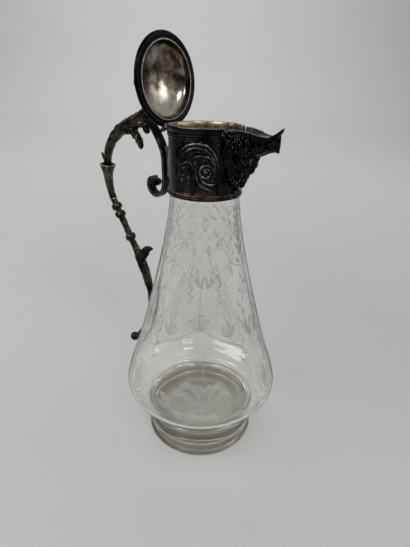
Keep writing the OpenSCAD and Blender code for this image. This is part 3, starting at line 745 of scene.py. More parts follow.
def finished(mesh: bpy.types.Mesh, name: str, finish: Finish, body: Body,
             replaces: Sequence[str], sharp: float) -> bpy.types.Object:
    """Makes an object of a mesh, dresses it and puts it on its body.

    Args:
        mesh: The mesh in metres.
        name: Name of the piece.
        finish: What it is finished in.
        body: The body it rides on.
        replaces: CAD nodes that it stands for.
        sharp: Edges steeper than this, in degrees, stay crisp.

    Returns:
        The new object.
    """
    mesh.shade_smooth()
    mesh.set_sharp_from_angle(angle=math.radians(sharp))
    mesh.materials.clear()
    mesh.materials.append(finish.material())
    made = bpy.data.objects.new(name, mesh)
    bpy.context.scene.collection.objects.link(made)
    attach(made, body.value)
    if replaces:
        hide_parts(*replaces)
    LOG.info("%s: %d faces, on %s", name, len(mesh.polygons), body.value)
    return made


class NodeTool:
    """A Geometry Nodes tree with named inputs, run on a mesh to give a plain mesh."""

    def __init__(self, name: str, inputs: dict[str, tuple[str, Any]]) -> None:
        """Makes the tree and its group input.

        Args:
            name: Name of the tree.
            inputs: Socket type and value by input name.
        """
        self.tree = bpy.data.node_groups.new(name, "GeometryNodeTree")
        face = self.tree.interface
        face.new_socket("Geometry", in_out="INPUT", socket_type="NodeSocketGeometry")
        face.new_socket("Geometry", in_out="OUTPUT", socket_type="NodeSocketGeometry")
        self.values = {}
        for key, (kind, value) in inputs.items():
            socket = face.new_socket(key, in_out="INPUT", socket_type=kind)
            self.values[socket.identifier] = value
        self.start = add(self.tree, "NodeGroupInput")

    def finish(self, geometry: bpy.types.NodeSocket, finish: Finish) -> None:
        """Ends the tree with real geometry in the given finish.

        Args:
            geometry: What the tree has made.
            finish: What it is finished in.
        """
        real = add(self.tree, "GeometryNodeRealizeInstances", {"Geometry": geometry}).outputs[0]
        dressed = add(self.tree, "GeometryNodeSetMaterial",
                      {"Geometry": real, "Material": finish.material()}).outputs[0]
        add(self.tree, "NodeGroupOutput", {0: dressed})

    def run(self, mesh: bpy.types.Mesh) -> bpy.types.Mesh:
        """Runs the tree on a mesh and returns a plain mesh.

        Args:
            mesh: The mesh that goes in.

        Returns:
            The mesh that comes out.
        """
        holder = bpy.data.objects.new("holder", mesh)
        bpy.context.scene.collection.objects.link(holder)
        modifier = holder.modifiers.new("tree", "NODES")
        modifier.node_group = self.tree
        for identifier, value in self.values.items():
            modifier[identifier] = value
        result = plain_mesh(holder)
        holder.modifiers.remove(modifier)
        bpy.data.objects.remove(holder)
        return result


# ----------------------------------------------------------------------- glass
@dataclass
class GlassBody:
    """The blown body, from its foot to the neck inside the mount, and its etching."""

    foot_r: float = 41.0
    belly_r: float = 56.6
    belly_z: float = 49.0
    neck_r: float = 22.1
    mount_z: float = 191.0
    wall: float = 2.4
    flare: float = 1.3
    first_motif: float = -56.0
    low_turn: float = 4.5
    belly_top: float = 78.0
    seam_from: float = 36.0
    sectors: int = 3
    film: float = 0.05
    leaf: Sequence[float] = (0.2, 0.75, 1.0, 0.8, 0.95, 0.55, 0.1)
    outline: np.ndarray = field(init=False)

    def __post_init__(self) -> None:
        """Works out the outer outline once."""
        high = self.mount_z - 1 - self.belly_z
        cone = [(self.cone_r(t), self.belly_z + high * t) for t in np.arange(2, 10) / 10]
        points = [(self.foot_r, 3), (38.375, 11.1), (37.5, 21), (39.41, 27.16), (47.05, 33.6),
                  (54.31, 41.16), (self.belly_r, self.belly_z), (self.cone_r(0.085), 63.1)]
        self.outline = flow(points + cone + [(self.neck_r, self.mount_z - 1)], 10)
        self.outline[:, 0] = np.minimum(self.outline[:, 0], self.belly_r)

    def cone_r(self, t: float) -> float:
        """Radius of the cone at a share of the way up from the belly."""
        return self.neck_r + (self.belly_r - self.neck_r) * (1 - t) ** self.flare

    def radius(self, z: Any) -> Any:
        """Outer radius at a height."""
        return np.interp(z, self.outline[:, 1], self.outline[:, 0])

    def body(self) -> None:
        """The glass itself, solid below its floor, with a dished underside."""
        inner = [(r - self.wall, z) for r, z in self.outline[::-1] if z > 36.5]
        neck = [(self.neck_r, self.mount_z - 0.02), (21.39, self.mount_z), (21.39, 214.4),
                (20.9, 215), (19.5, 215), (18.99, 214.4), (18.99, 194)]
        floor = flow([inner[-1], (44.6, 33.2), (39.5, 30.2), (30, 28.4), (15, 27.3), (0, 27)], 6)[1:]
        dish = flow([(0, 2.6), (16, 2.3), (27, 1.5), (32, 0.5), (34, 0.06)], 5)
        base = [(35, 0), (39.7, 0), (40.6, 0.25), (40.95, 0.9)]
        profile = [*dish, *base, *self.outline, *neck, *inner, *floor]
        Shape().skin(lathe(profile, 256), Ends.OPEN).piece(
            "glass_vessel", GLASS, Slot.GLASS, replaces=["glass_body"])

    def ribbon(self, path: Pairs, width: Any, steps: int = 8) -> np.ndarray:
        """Rows of a flat stroke on the glass.

        Args:
            path: Points [degrees from the motif's middle, height].
            width: Its width in millimetres, or widths along it.
            steps: New points for each stretch of the path.

        Returns:
            Rows of three points across the stroke.
        """
        p = flow(path, steps)
        r = self.radius(p[:, 1])
        flat = np.c_[np.radians(p[:, 0]) * r, p[:, 1]]
        way = np.gradient(flat, axis=0)
        way /= np.maximum(np.linalg.norm(way, axis=1), 1e-9)[:, None]
        wide = np.broadcast_to(np.asarray(width, float), (len(p),)) if np.ndim(width) == 0 \
            else np.interp(np.linspace(0, 1, len(p)), np.linspace(0, 1, len(width)), width)
        rows = []
        for share in (-0.5, 0.0, 0.5):
            off = share * wide
            z = p[:, 1] + way[:, 0] * off
            a = np.radians(self.first_motif) + np.radians(p[:, 0]) - way[:, 1] * off / r
            rad = self.radius(z) + self.film
            rows.append(np.c_[rad * np.cos(a), rad * np.sin(a), z])
        return np.stack(rows, axis=1)

    def upper_motifs(self) -> list[tuple[Pairs, Any]]:
        """Half of the cone's pattern: stems, garlands, flowers and the ogee arch."""
        lines: list[tuple[Pairs, float]] = [
            ([(11.4, 169.2), (9.6, 169.6), (8.3, 167.5), (8.1, 161), (10.6, 156), (13.8, 151.8),
              (20, 144), (24.8, 138), (30.4, 131), (35, 123.6), (38, 115), (40.5, 104)], 0.45),
            ([(15, 160.6), (21, 162.2), (29, 161.2), (35.6, 157.6), (38, 154), (35, 150.8),
              (29, 149.8)], 0.75),
            ([(60, 147.6), (51, 148.8), (42, 151.2), (33, 150.8), (25, 148.2), (22, 145)], 0.8),
            ([(20, 163), (24, 166.4), (29, 166.8), (31, 170), (28, 172.4)], 0.6),
            ([(35, 190), (40, 183.4), (37, 177.4), (38, 171), (40, 166.6), (44.4, 160),
              (43, 151)], 0.45),
            ([(60, 190), (57, 181), (60, 172), (58, 162), (56, 150)], 0.45),
            ([(30, 190), (44, 179), (54, 168), (60, 160)], 0.4),
            ([(62, 146), (55.5, 134), (49.5, 122), (46, 109), (43, 98)], 0.4),
            ([(52, 190), (45, 176), (48, 164), (56, 156)], 0.35),
            ([(0, 110.6), (6.6, 109.5), (12, 106.7), (19, 103.8), (32, 99.2), (43, 95)], 1.5),
            ([(29.5, 104.5), (31.6, 101.8), (34.7, 99.4)], 0.7),
            ([(38, 122.6), (42, 104), (44.6, 84)], 0.5),
        ]
        leaves: list[tuple[Pairs, float]] = [
            ([(8.4, 164), (10.6, 161.2), (9.9, 157)], 3.2),
            ([(18.6, 146.6), (22.4, 143), (23.6, 138)], 2.4),
            ([(14, 172), (18.6, 171.6), (23.4, 170)], 2.4),
            ([(9, 182.6), (14.4, 181.8), (20.6, 179.6)], 1.7),
            ([(19, 162.6), (24.6, 165), (31, 163)], 2.8), ([(28, 166), (32, 168), (33.6, 171)], 1.7),
            ([(14, 188.6), (20, 187.6), (26, 184)], 1.5), ([(36, 150), (40, 147), (40, 142)], 2.2),
            ([(19.6, 131.6), (25, 126), (30.6, 118)], 1.3), ([(24, 131), (29, 126), (33, 120)], 0.9),
            ([(46, 130), (43, 122), (42.6, 112)], 1.4), ([(52, 120), (50, 110), (49.6, 101)], 1.2),
            ([(0.6, 111.3), (3.8, 113.4), (7, 116.8), (11.4, 115.2)], 3.0),
            ([(1, 111), (5.2, 111.8), (8.6, 113.2)], 1.5),
            ([(28.4, 104.6), (24, 108.2), (24.4, 113.4)], 3.4),
            ([(29.4, 104), (29.4, 109), (29.6, 114)], 3.4),
            ([(30.4, 104.6), (34.4, 108), (34.4, 112.6)], 3.2),
            ([(28.6, 113), (26.4, 117.5), (23, 121.6)], 1.8),
            ([(30, 113.6), (31.6, 118), (30, 121.4)], 1.6), ([(56, 100), (52, 106), (52, 113)], 3.0),
            ([(57, 99), (57, 107), (60, 113)], 2.6),
        ]
        garlands = [([190, 177, 166, 151], [35, 37, 40, 43], 1.9),
                    ([190, 172, 162, 150], [60, 60, 58, 56], 2.4),
                    ([190, 179, 168, 158], [30, 44, 54, 61], 1.6),
                    ([146, 122, 98, 84], [61, 49, 43, 44], 1.5)]
        for heights, turns, wide in garlands:
            for k, z in enumerate(np.arange(heights[-1], heights[0] - 4, 4.6)):
                at = float(np.interp(z, heights[::-1], turns[::-1]))
                turn = math.degrees(2.6 / self.radius(z)) * (1 if k % 2 else -1)
                leaves.append(([(at, z), (at + 0.7 * turn, z + 1.9), (at + turn, z + 4.0)], wide))
        for z, half in ((120.2, 5.0), (124.9, 2.6), (127.6, 1.1), (130.6, 1.0)):
            leaves.append(([(0, z), (0.6 * half, z - 0.2), (half, z + 0.5)], 0.9))
        return lines + [(path, wide * np.array(self.leaf)) for path, wide in leaves]

    def lower_motifs(self) -> list[tuple[Pairs, Any]]:
        """Half of the belly's pattern: medallions, scallops and the palmette."""
        lines: list[tuple[Pairs, float]] = [
            ([(41, 84), (43.4, 66), (44.6, 57.6), (51, 51.4), (60, 48.4)], 0.8),
            ([(0, 50.8), (8, 53.2), (15, 50.8), (24, 53.6), (34, 50.8), (45, 52.4)], 0.6),
        ]
        leaves: list[tuple[Pairs, float]] = [
            ([(1, 63), (5, 69.6), (10, 74), (15, 73.6), (19, 69.4)], 4.6),
            ([(1.4, 60), (8, 63), (14, 68), (18.6, 67.6), (23, 64.6)], 4.2),
            ([(1, 68), (2.6, 72.4), (5.8, 75.6)], 3.4), ([(1, 53.4), (5, 55.8), (9.4, 54.2)], 3.2),
            ([(2, 54), (3, 60), (2.4, 68)], 5.0), ([(24, 57), (28, 62), (34, 65.4)], 5.0),
            ([(26, 56), (31, 58.4), (36, 58.6)], 4.0), ([(59.5, 55.6), (56.6, 61.6), (54.4, 71)], 4.4),
            ([(60, 60), (59, 66), (60, 75)], 4.0),
        ]
        return lines + [(path, wide * np.array(self.leaf)) for path, wide in leaves]

    def motifs(self) -> list[tuple[Pairs, Any]]:
        """The strokes of one sector: each path with its width."""
        t = np.linspace(0, 2 * np.pi, 17)
        oval = [(60 + 10.4 * math.sin(a), 65 + 11.6 * math.cos(a)) for a in t]
        upper = self.upper_motifs() + [([(0, 111), (0, 136)], 0.45)]
        upper.append(([(0, 111.4), (0, 114), (0, 117.4)], 2.6 * np.array(self.leaf)))
        lower = self.lower_motifs() + [(oval, 0.9), ([(0, 54), (0, 96)], 0.5)]
        strokes = []
        for group, shift in ((upper, 0.0), (lower, self.low_turn)):
            for path, wide in group:
                strokes.append(([(shift + a, z) for a, z in path], wide))
                if any(abs(a) > 0.1 for a, _ in path) and path is not oval:
                    strokes.append(([(shift - a, z) for a, z in path], wide))
        return strokes

    def etching(self) -> None:
        """The etched pattern: one sector, repeated round the body by nodes, with
        thinner frost where two sectors meet."""
        cone, belly, seam = Shape(), Shape(), Shape()
        for path, wide in self.motifs():
            turns, heights = np.asarray(path).T
            shape = belly if heights.mean() < self.belly_top else cone
            if shape is cone and np.abs(turns).mean() > self.seam_from:
                shape = seam
            shape.skin(self.ribbon(path, wide), Ends.OPEN, wrap=False)
        for name, shape, finish, first, count in (
                ("etched_cone", cone, FROST, 0, 1), ("etched_belly", belly, DEEP_FROST, 0, 1),
                ("etched_cone_back", cone, FAINT_FROST, 1, self.sectors - 1),
                ("etched_belly_back", belly, FAINT_FROST, 1, self.sectors - 1),
                ("etched_garlands", seam, THIN_FROST, 0, self.sectors)):
            mesh = self.repeated(shape.mesh(name), finish, first, count)
            finished(mesh, name, finish, Body.JUG, (), 60.0)

    def repeated(self, sector: bpy.types.Mesh, finish: Finish, first: int,
                 count: int) -> bpy.types.Mesh:
        """Repeats the mesh of one sector round the axis.

        Args:
            sector: The strokes of one sector.
            finish: What they are finished in.
            first: The first sector that gets them.
            count: How many sectors get them.

        Returns:
            One plain mesh.
        """
        tool = NodeTool("repeat_round_axis", {
            "First": ("NodeSocketInt", first), "Count": ("NodeSocketInt", count),
            "Step": ("NodeSocketFloat", 2 * math.pi / self.sectors)})
        tree = tool.tree
        points = add(tree, "GeometryNodeMeshLine", {"Count": tool.start.outputs["Count"],
                                                    "Offset": (0, 0, 0)}).outputs[0]
        number = add(tree, "ShaderNodeMath", {
            0: add(tree, "GeometryNodeInputIndex").outputs[0], 1: tool.start.outputs["First"]},
            operation="ADD").outputs[0]
        angle = add(tree, "ShaderNodeMath", {0: number, 1: tool.start.outputs["Step"]},
                    operation="MULTIPLY").outputs[0]
        turn = add(tree, "ShaderNodeCombineXYZ", {2: angle}).outputs[0]
        copies = add(tree, "GeometryNodeInstanceOnPoints", {
            "Points": points, "Instance": tool.start.outputs["Geometry"],
            "Rotation": turn}).outputs[0]
        tool.finish(copies, finish)
        return tool.run(sector)

    def build(self) -> None:
        """The vessel and what is etched on it."""
        self.body()
        self.etching()


# ----------------------------------------------------------------------- mount
@dataclass
class Relief:
    """A height field over a patch, drawn stroke by stroke.

    A place on it is [a, b], such as an azimuth and a height, and one step of a or
    b is ``per_a`` or ``per_b`` millimetres.
    """

    a_range: tuple[float, float]
    b_range: tuple[float, float]
    per_a: float
    per_b: float
    step: float = 0.14
    u: np.ndarray = field(init=False)
    v: np.ndarray = field(init=False)
    height: np.ndarray = field(init=False)

    def __post_init__(self) -> None:
        """Lays out the grid in millimetres."""
        wide = (self.a_range[1] - self.a_range[0]) * self.per_a
        high = (self.b_range[1] - self.b_range[0]) * self.per_b
        u, v = (np.linspace(0, size, int(size / self.step) + 1) for size in (wide, high))
        self.u, self.v = np.meshgrid(u, v)
        self.height = np.zeros_like(self.u)

    def flat(self, path: Pairs) -> np.ndarray:
        """A path of [a, b] in the grid's millimetres.

        Args:
            path: Points [a, b].

        Returns:
            Points [u, v].
        """
        p = np.asarray(path, float)
        return np.c_[(p[:, 0] - self.a_range[0]) * self.per_a,
                     (p[:, 1] - self.b_range[0]) * self.per_b]

    def raise_to(self, height: np.ndarray) -> None:
        """Lifts the field where the new height is above it, with soft joints.

        Args:
            height: The new height at each point of the grid.
        """
        both = np.stack([self.height, height])
        top, low = both.max(axis=0), both.min(axis=0)
        soft = 0.12
        self.height = top + np.maximum(soft - (top - low), 0) ** 2 / (4 * soft) * (low > 0.01)

    def stroke(self, path: Pairs, width: Any, height: float, steps: int = 8,
               groove: float = 0.0) -> "Relief":
        """Adds a rounded ridge along a path.

        Args:
            path: Points [a, b].
            width: Its width in millimetres, or widths along it.
            height: How far it stands out.
            steps: New points for each stretch.
            groove: Depth of a fine groove along its middle, as a share.

        Returns:
            This relief.
        """
        p = self.flat(flow(path, steps))
        n = len(p)
        widths = np.interp(np.linspace(0, 1, n), np.linspace(0, 1, max(np.size(width), 2)),
                           np.broadcast_to(width, (2,)) if np.size(width) < 2 else width)
        reach = widths.max()
        lo, hi = p.min(axis=0) - reach, p.max(axis=0) + reach
        near = (self.u > lo[0]) & (self.u < hi[0]) & (self.v > lo[1]) & (self.v < hi[1])
        gu, gv = self.u[near], self.v[near]
        best = np.full(gu.shape, 9.0)
        size = np.ones_like(gu)
        for i in range(n - 1):
            a, b = p[i], p[i + 1]
            d = b - a
            t = np.clip(((gu - a[0]) * d[0] + (gv - a[1]) * d[1]) / max(d @ d, 1e-9), 0, 1)
            w = (widths[i] * (1 - t) + widths[i + 1] * t) / 2
            share = np.hypot(gu - a[0] - t * d[0], gv - a[1] - t * d[1]) / np.maximum(w, 1e-3)
            closer = share < best
            best = np.where(closer, share, best)
            size = np.where(closer, w, size)
        form = np.sqrt(np.clip(1 - best ** 2, 0, 1))
        form -= groove * np.exp(-(best / 0.25) ** 2)
        lift = np.zeros_like(self.height)
        lift[near] = form * np.minimum(height, size * 1.3) * (best < 1)
        self.raise_to(lift)
        return self

    def boss(self, a: float, b: float, wide: float, high: float, height: float) -> "Relief":
        """Adds one oval boss.

        Args:
            a: Its place along a.
            b: Its place along b.
            wide: Half its width in millimetres.
            high: Half its height along b in millimetres.
            height: How far it stands out.

        Returns:
            This relief.
        """
        at = self.flat([(a, b)])[0]
        share = np.hypot((self.u - at[0]) / wide, (self.v - at[1]) / high)
        self.raise_to(height * np.sqrt(np.clip(1 - share ** 2, 0, 1)))
        return self


@dataclass
class Mount:
    """The plated mount: sleeve, mouldings, liner and the two panels."""

    mount_z: float = 191.0
    rim_z: float = 232.0
    inner_r: float = 22.09
    sleeve_r: float = 22.89
    panel_r: float = 23.39
    panel_turns: tuple[float, float] = (33.0, 102.0)
    panel_heights: tuple[float, float] = (194.42, 225.58)
    lip_from: float = 27.5

    def ring(self, profile: Any, lip: bool, sides: int = 240) -> np.ndarray:
        """Rows of a turned ring, open at the lip if asked, with [r, z] points.

        Args:
            profile: Points [r, z].
            lip: Whether it is open at the lip.
            sides: Sections round the axis.

        Returns:
            The rows.
        """
        p = np.asarray(profile, float)
        gap = math.radians(self.lip_from) if lip else 0.0
        a = np.linspace(gap, 2 * np.pi - gap, sides)
        a = a if lip else a[:-1]
        return np.stack([np.cos(a)[:, None] * p[:, 0], np.sin(a)[:, None] * p[:, 0],
                         np.ones_like(a)[:, None] * p[:, 1]], -1)

    def sleeve(self) -> None:
        """The rolled sheet, with the lip's throat cut out of it."""
        sides, rows = 288, 60
        a = np.linspace(0, 2 * np.pi, sides, endpoint=False)
        y = self.sleeve_r * np.sin(a)
        deep = np.where((np.abs(y) < 10.4) & (np.cos(a) > 0),
                        14.2 * np.sqrt(np.clip(1 - (y / 10.4) ** 2, 0, 1)), 0.0)
        top = self.rim_z - 3 - np.maximum(deep - 3, 0)
        t = np.linspace(0, 1, rows)[:, None]
        z = self.mount_z + 0.01 + t * (top - self.mount_z - 0.01)
        layers = [np.stack([r * np.cos(a) + 0 * z, r * np.sin(a) + 0 * z, z], -1)
                  for r in (self.sleeve_r, self.inner_r)]
        Shape().skin(np.concatenate([layers[0], layers[1][::-1]]), Ends.JOIN).piece(
            "sleeve", BLACK_PLATE, Slot.TARNISHED, replaces=["mount_sleeve"])

    def mouldings(self) -> None:
        """The worn moulding at the foot, and the reeded one under the rim."""
        z0, r = self.mount_z, self.sleeve_r
        half = [(r + 0.62 + 0.38 * math.sin(t), z0 + 1.02 - 1.0 * math.cos(t))
                for t in np.linspace(0.15, 2.6, 10)]
        bead = [(r + 0.28 + 0.42 * math.sin(t), z0 + 2.7 - 0.62 * math.cos(t))
                for t in np.linspace(0.4, 2.9, 8)]
        low = [(r - 0.02, z0 + 0.02), (r + 0.35, z0 + 0.02), *half, *bead, (r - 0.02, z0 + 3.38)]
        Shape().skin(self.ring(low, False), Ends.JOIN).piece(
            "foot_moulding", WORN_COPPER, Slot.COPPER, replaces=["mount_foot_moulding"])
        top = self.rim_z
        reeds = [(r + 0.16 + 0.36 * math.sin(t), z - 0.48 * math.cos(t))
                 for z in (226.2, 227.6) for t in np.linspace(0.3, 2.84, 8)]
        band = [(r + 0.2, 228.5), (r + 0.24, 229.2), (r + 0.42, 229.5), (r + 0.44, 231.2),
                (r + 0.38, 231.75), (r + 0.2, top), (r - 0.02, top)]
        Shape().skin(self.ring([(r - 0.02, 225.62), (r + 0.2, 225.65), *reeds, *band], True),
                     Ends.FAN).piece("rim_moulding", BLACK_PLATE, Slot.TARNISHED,
                                     replaces=["mount_top_moulding"])

    def liner(self) -> None:
        """The gilded lining of the mouth, rolled over the rim."""
        lip = [(self.sleeve_r - 0.03, 231.99), (22.2, 232.0), (21.75, 231.93), (21.5, 231.6),
               (21.49, 229), (21.49, 224.05), (22.08, 224.05), (22.08, 230.8), (22.4, 231.4),
               (self.sleeve_r - 0.03, 231.5)]
        Shape().skin(self.ring(lip, True), Ends.FAN).piece(
            "mouth_lining", GILT, Slot.GILT, replaces=["rim_liner"])

    def panel(self, side: float) -> np.ndarray:
        """Rows of one embossed panel: a big C scroll round a volute, with foliage.

        Args:
            side: -1 for the near panel, 1 for the far one.

        Returns:
            The rows, front and back.
        """
        r = Relief(self.panel_turns, self.panel_heights, math.radians(self.panel_r), 1.0)
        edge = [(33.7, 194.9), (101.3, 194.9), (101.3, 225.1), (33.7, 225.1), (33.7, 194.9)]
        for first, last in zip(edge, edge[1:]):
            r.stroke([first, last], 0.75, 0.3, steps=2)
        taper = [0.4, 1.3, 1.7, 1.8, 1.6, 1.3, 0.5]
        r.stroke([(98, 210), (93, 217), (86.7, 220.8), (77, 223), (66.4, 223.9), (54.8, 223.4),
                  (47, 221.4), (40.4, 217.8), (36.3, 213.6), (35, 209.4), (36.4, 205.6)], taper, 1.0)
        r.stroke([(96, 207), (92.4, 213), (86.7, 217.8), (80.9, 219.6), (74.4, 221), (66.3, 221.7),
                  (56, 221), (48, 218.9), (42, 215.8), (38.4, 212), (37.8, 208)], taper, 0.9)
        r.stroke([(85, 214.4), (78, 217.2), (70, 219), (62, 219.5), (54, 218.9), (47, 217)],
                 [0.3, 0.9, 1.2, 1.1, 0.4], 0.75)
        r.stroke([(73, 215.4), (67.2, 216.6), (61, 217.4), (54.5, 217.3), (46.7, 216), (41.6, 213),
                  (39.6, 209.6), (40.6, 206)], taper, 1.0, groove=0.2)
        r.stroke([(72, 211), (66.6, 208.8), (65.4, 205.6), (62.8, 202.6), (57.5, 199.8), (49.5, 198.6),
                  (43.3, 197.4), (37.4, 195.6)], taper, 0.9)
        t = np.linspace(0, 1, 34)
        turn, rad = np.radians(200 - 700 * t), 4.9 - 4.1 * t ** 0.85
        r.stroke(np.c_[52.6 + np.degrees(rad * np.cos(turn) / self.panel_r),
                       208.2 + rad * np.sin(turn)], [1.2, 1.6, 1.5, 1.3, 1.0], 1.15, steps=3)
        r.boss(52.8, 208.3, 1.2, 1.2, 1.2)
        r.stroke([(63.4, 207.6), (60.4, 205), (57.2, 203.2), (53, 202), (47.6, 201.3), (40.6, 201.4),
                  (35.6, 203)], taper, 1.0)
        r.stroke([(97.4, 206.6), (93.2, 210.6), (85.5, 212.8), (77.5, 213.5), (72.2, 211.7),
                  (71.2, 208.6)], [0.5, 1.2, 1.5, 1.3, 0.9], 0.8)
        for path, wide in [
                ([(46, 204.6), (41, 206), (35.6, 204.7), (34, 204.2)], 1.5),
                ([(44, 203.4), (39, 203.2), (34.4, 201.4)], 1.5),
                ([(50, 201.6), (45, 200), (39, 199.6)], 1.2), ([(60, 202), (56, 200.6), (51, 200)], 1.0),
                ([(94, 197), (91.5, 199.5), (88, 201.7)], 1.6), ([(86, 197), (82, 199), (77, 202)], 1.6),
                ([(76, 197), (72, 200), (68.4, 204.4)], 1.6), ([(97, 200), (96, 204), (93, 206)], 1.4),
                ([(95, 216.4), (90, 217), (85, 215)], 1.3), ([(98.6, 219.5), (94, 222), (88, 222.8)], 1.5),
                ([(69, 196.6), (65, 198), (62, 200)], 1.2), ([(43, 222.6), (39, 221.6), (35.6, 218.6)], 1.4),
                ([(84, 209), (80, 210.6), (76, 210.4)], 1.1), ([(58, 214.4), (52, 215), (47, 213.6)], 0.9)]:
            r.stroke(path, np.array([0.3, 0.8, 1.0, 0.85, 0.2]) * wide, 0.7, groove=0.3)
        t = np.linspace(0, 1, 18)
        turn, rad = np.radians(-60 + 470 * t), 2.1 - 1.5 * t
        r.stroke(np.c_[95.4 + np.degrees(rad * np.cos(turn) / self.panel_r),
                       222.8 + rad * np.sin(turn)], [0.7, 1.1, 0.9], 0.9, steps=3)
        for az, z, wide, high in ((88.3, 203.8, 1.4, 2.5), (77.6, 205.6, 1.3, 2.3), (84.9, 210, 0.8, 0.8),
                                  (68.1, 213.2, 0.9, 0.9), (36.4, 223.6, 0.8, 0.8), (61, 225.0, 0.6, 0.6),
                                  (71, 224.8, 0.5, 0.5), (81, 224.4, 0.5, 0.5)):
            r.boss(az, z, wide, high, 0.9)
        ground = ripple(r.v, r.u * 1.9, 5, 2.6, most=3, waves=14)
        r.height += 0.035 * ground * (r.height < 0.05)
        r.height[[0, -1]] = 0.0
        r.height[:, [0, -1]] = 0.0
        a = side * (math.radians(self.panel_turns[0]) + r.u / self.panel_r)
        front, back = self.panel_r + r.height, (self.panel_r - 0.49) * np.ones_like(r.u)
        z = r.v + self.panel_heights[0]
        layers = [np.stack([radius * np.cos(a), radius * np.sin(a), z], -1)
                  for radius in (front, back)]
        return np.concatenate([layers[0], layers[1][:, ::-1]], axis=1)

    def build(self) -> None:
        """All of the mount that stands on the jug."""
        self.sleeve()
        self.mouldings()
        self.liner()
        for name, side in (("near", -1.0), ("far", 1.0)):
            Shape().skin(self.panel(side), Ends.FOLD).piece(
                f"embossed_panel_{name}", BLACK_PANEL, Slot.TARNISHED,
                replaces=[f"side_panel_{name}", f"panel_scrolls_{name}"], sharp=70.0)


@dataclass
class PouringLip:
    """The lip's trough, the leaf that closes it from below and the leaf relief."""

    rim_z: float = 232.0
    x0: float = 20.09
    reach: float = 51.2
    wall: float = 1.0
    back: float = 0.12
    trough_from: float = 21.9
    back_from: float = 24.4
    leaf_half: float = 11.0
    leaf_deep: float = 15.0
    stations: Pairs = ((0, 11, 0, 15), (0.22, 9.24, 0, 12.9), (0.42, 7.26, -0.9, 9.45),
                       (0.62, 5.61, -2.3, 6), (0.78, 4.62, -2.6, 4.05), (0.9, 3.08, -0.8, 3),
                       (1, 1.32, 2, 1.5))

    def at(self, way: Any) -> Any:
        """X at a share of the way to the lip's tip."""
        return self.x0 + way * (self.reach - self.x0)

    def curve(self, station: np.ndarray, grow: float, turns: np.ndarray) -> np.ndarray:
        """One section of the lip's form, grown by a distance.

        Args:
            station: Share of the way, half width, lift and depth.
            grow: Distance outwards in millimetres.
            turns: Angles from the lowest point, in radians.

        Returns:
            The points of the section.
        """
        way, half, lift, deep = station
        x = np.full_like(turns, self.at(way))
        return np.stack([x, (half + grow) * np.sin(turns),
                         self.rim_z + lift - (deep + grow) * np.cos(turns)], -1)

    def trough(self) -> None:
        """The satin channel, with a rounded edge all the way to its tip."""
        turns = np.radians(np.linspace(-90, 90, 41))
        rows = []
        for s in flow(self.stations, 8):
            if self.at(s[0]) < self.trough_from:
                continue
            rows.append(np.vstack([self.curve(s, 0, turns),
                                   self.curve(s, -self.wall, turns[::-1])]))
        rows = np.array(rows)
        rows[:, [0, 40, 41, 81], 2] -= 0.22
        Shape().skin(rows, Ends.FOLD).piece("lip_trough", SATIN, Slot.SATIN,
                                            replaces=["pouring_lip"])
        turns = np.radians(np.linspace(-88, 88, 61))
        skin = [np.vstack([self.curve(s, self.back, turns), self.curve(s, 0.01, turns[::-1])])
                for s in flow(self.stations, 8) if self.at(s[0]) > self.back_from]
        Shape().skin(np.array(skin), Ends.FOLD).piece("lip_back", BLACK_PLATE, Slot.TARNISHED)

    def leaf(self) -> None:
        """The beak-like leaf under the lip, with a midrib and veins."""
        line = [(0.49, 0.6, 1.0), (0.66, 0.49, 0.85), (0.78, 0.41, 0.74), (0.88, 0.28, 0.7),
                (0.955, 0.1, 0.74)]
        shape = Shape()
        rows = []
        for way, wide, deep in flow(line, 6):
            x, w, z = self.at(way), wide * self.leaf_half, self.rim_z - deep * self.leaf_deep
            lip = self.lip_under(way)
            ring = [(-0.2, 0), (0.2, 0), (0.55, 1.1), (0.82, 2.8), (0.97, 5.0), (1.0, 7.0),
                    (0.86, 8.6), (0.4, 9.6), (-0.4, 9.6), (-0.86, 8.6), (-1.0, 7.0), (-0.97, 5.0),
                    (-0.82, 2.8), (-0.55, 1.1)]
            rows.append([(x, w * y, min(z + up, lip - 0.1)) for y, up in ring])
        shape.skin(np.array(rows, float))
        keel = [(self.at(w), 0, self.rim_z - d * self.leaf_deep - 0.05)
                for w, _, d in flow(line, 6)]
        shape.skin(tube(keel, np.linspace(0.75, 0.35, len(keel)), 10))
        ways, wides, deeps = np.transpose(line)
        for side in (-1, 1):
            for way in (0.56, 0.66, 0.76, 0.86):
                w = np.interp(way, ways, wides) * self.leaf_half
                d = np.interp(way, ways, deeps) * self.leaf_deep
                x = self.at(way)
                path = [(x, 0, self.rim_z - d), (x - 1.2, side * w * 0.6, self.rim_z - d + 1.4),
                        (x - 2.6, side * w * 0.98, self.rim_z - d + 5.2)]
                shape.skin(tube(flow(path, 5), np.linspace(0.55, 0.35, 11), 8, up=(1, 0, 0)))
            edge = [(42.5, side * 5.0, 226.6), (45.6, side * 3.7, 225.2), (47.6, side * 2.0, 223.2),
                    (49.2, side * 0.3, 221.2)]
            shape.skin(tube(flow(edge, 6), np.linspace(0.7, 0.5, 19), 10, up=(0, 0, 1)))
        shape.fused(0.24, 2).piece("beak_leaf", BLACK_RELIEF, Slot.TARNISHED, replaces=["lip_leaf"])

    def lip_under(self, way: float) -> float:
        """Height of the lip's underside at a share of the way to its tip."""
        ways, _, lifts, deeps = np.transpose(self.stations)
        return float(self.rim_z + np.interp(way, ways, lifts) - np.interp(way, ways, deeps))

    def build(self) -> None:
        """The lip and what hangs under it."""
        self.trough()
        self.leaf()


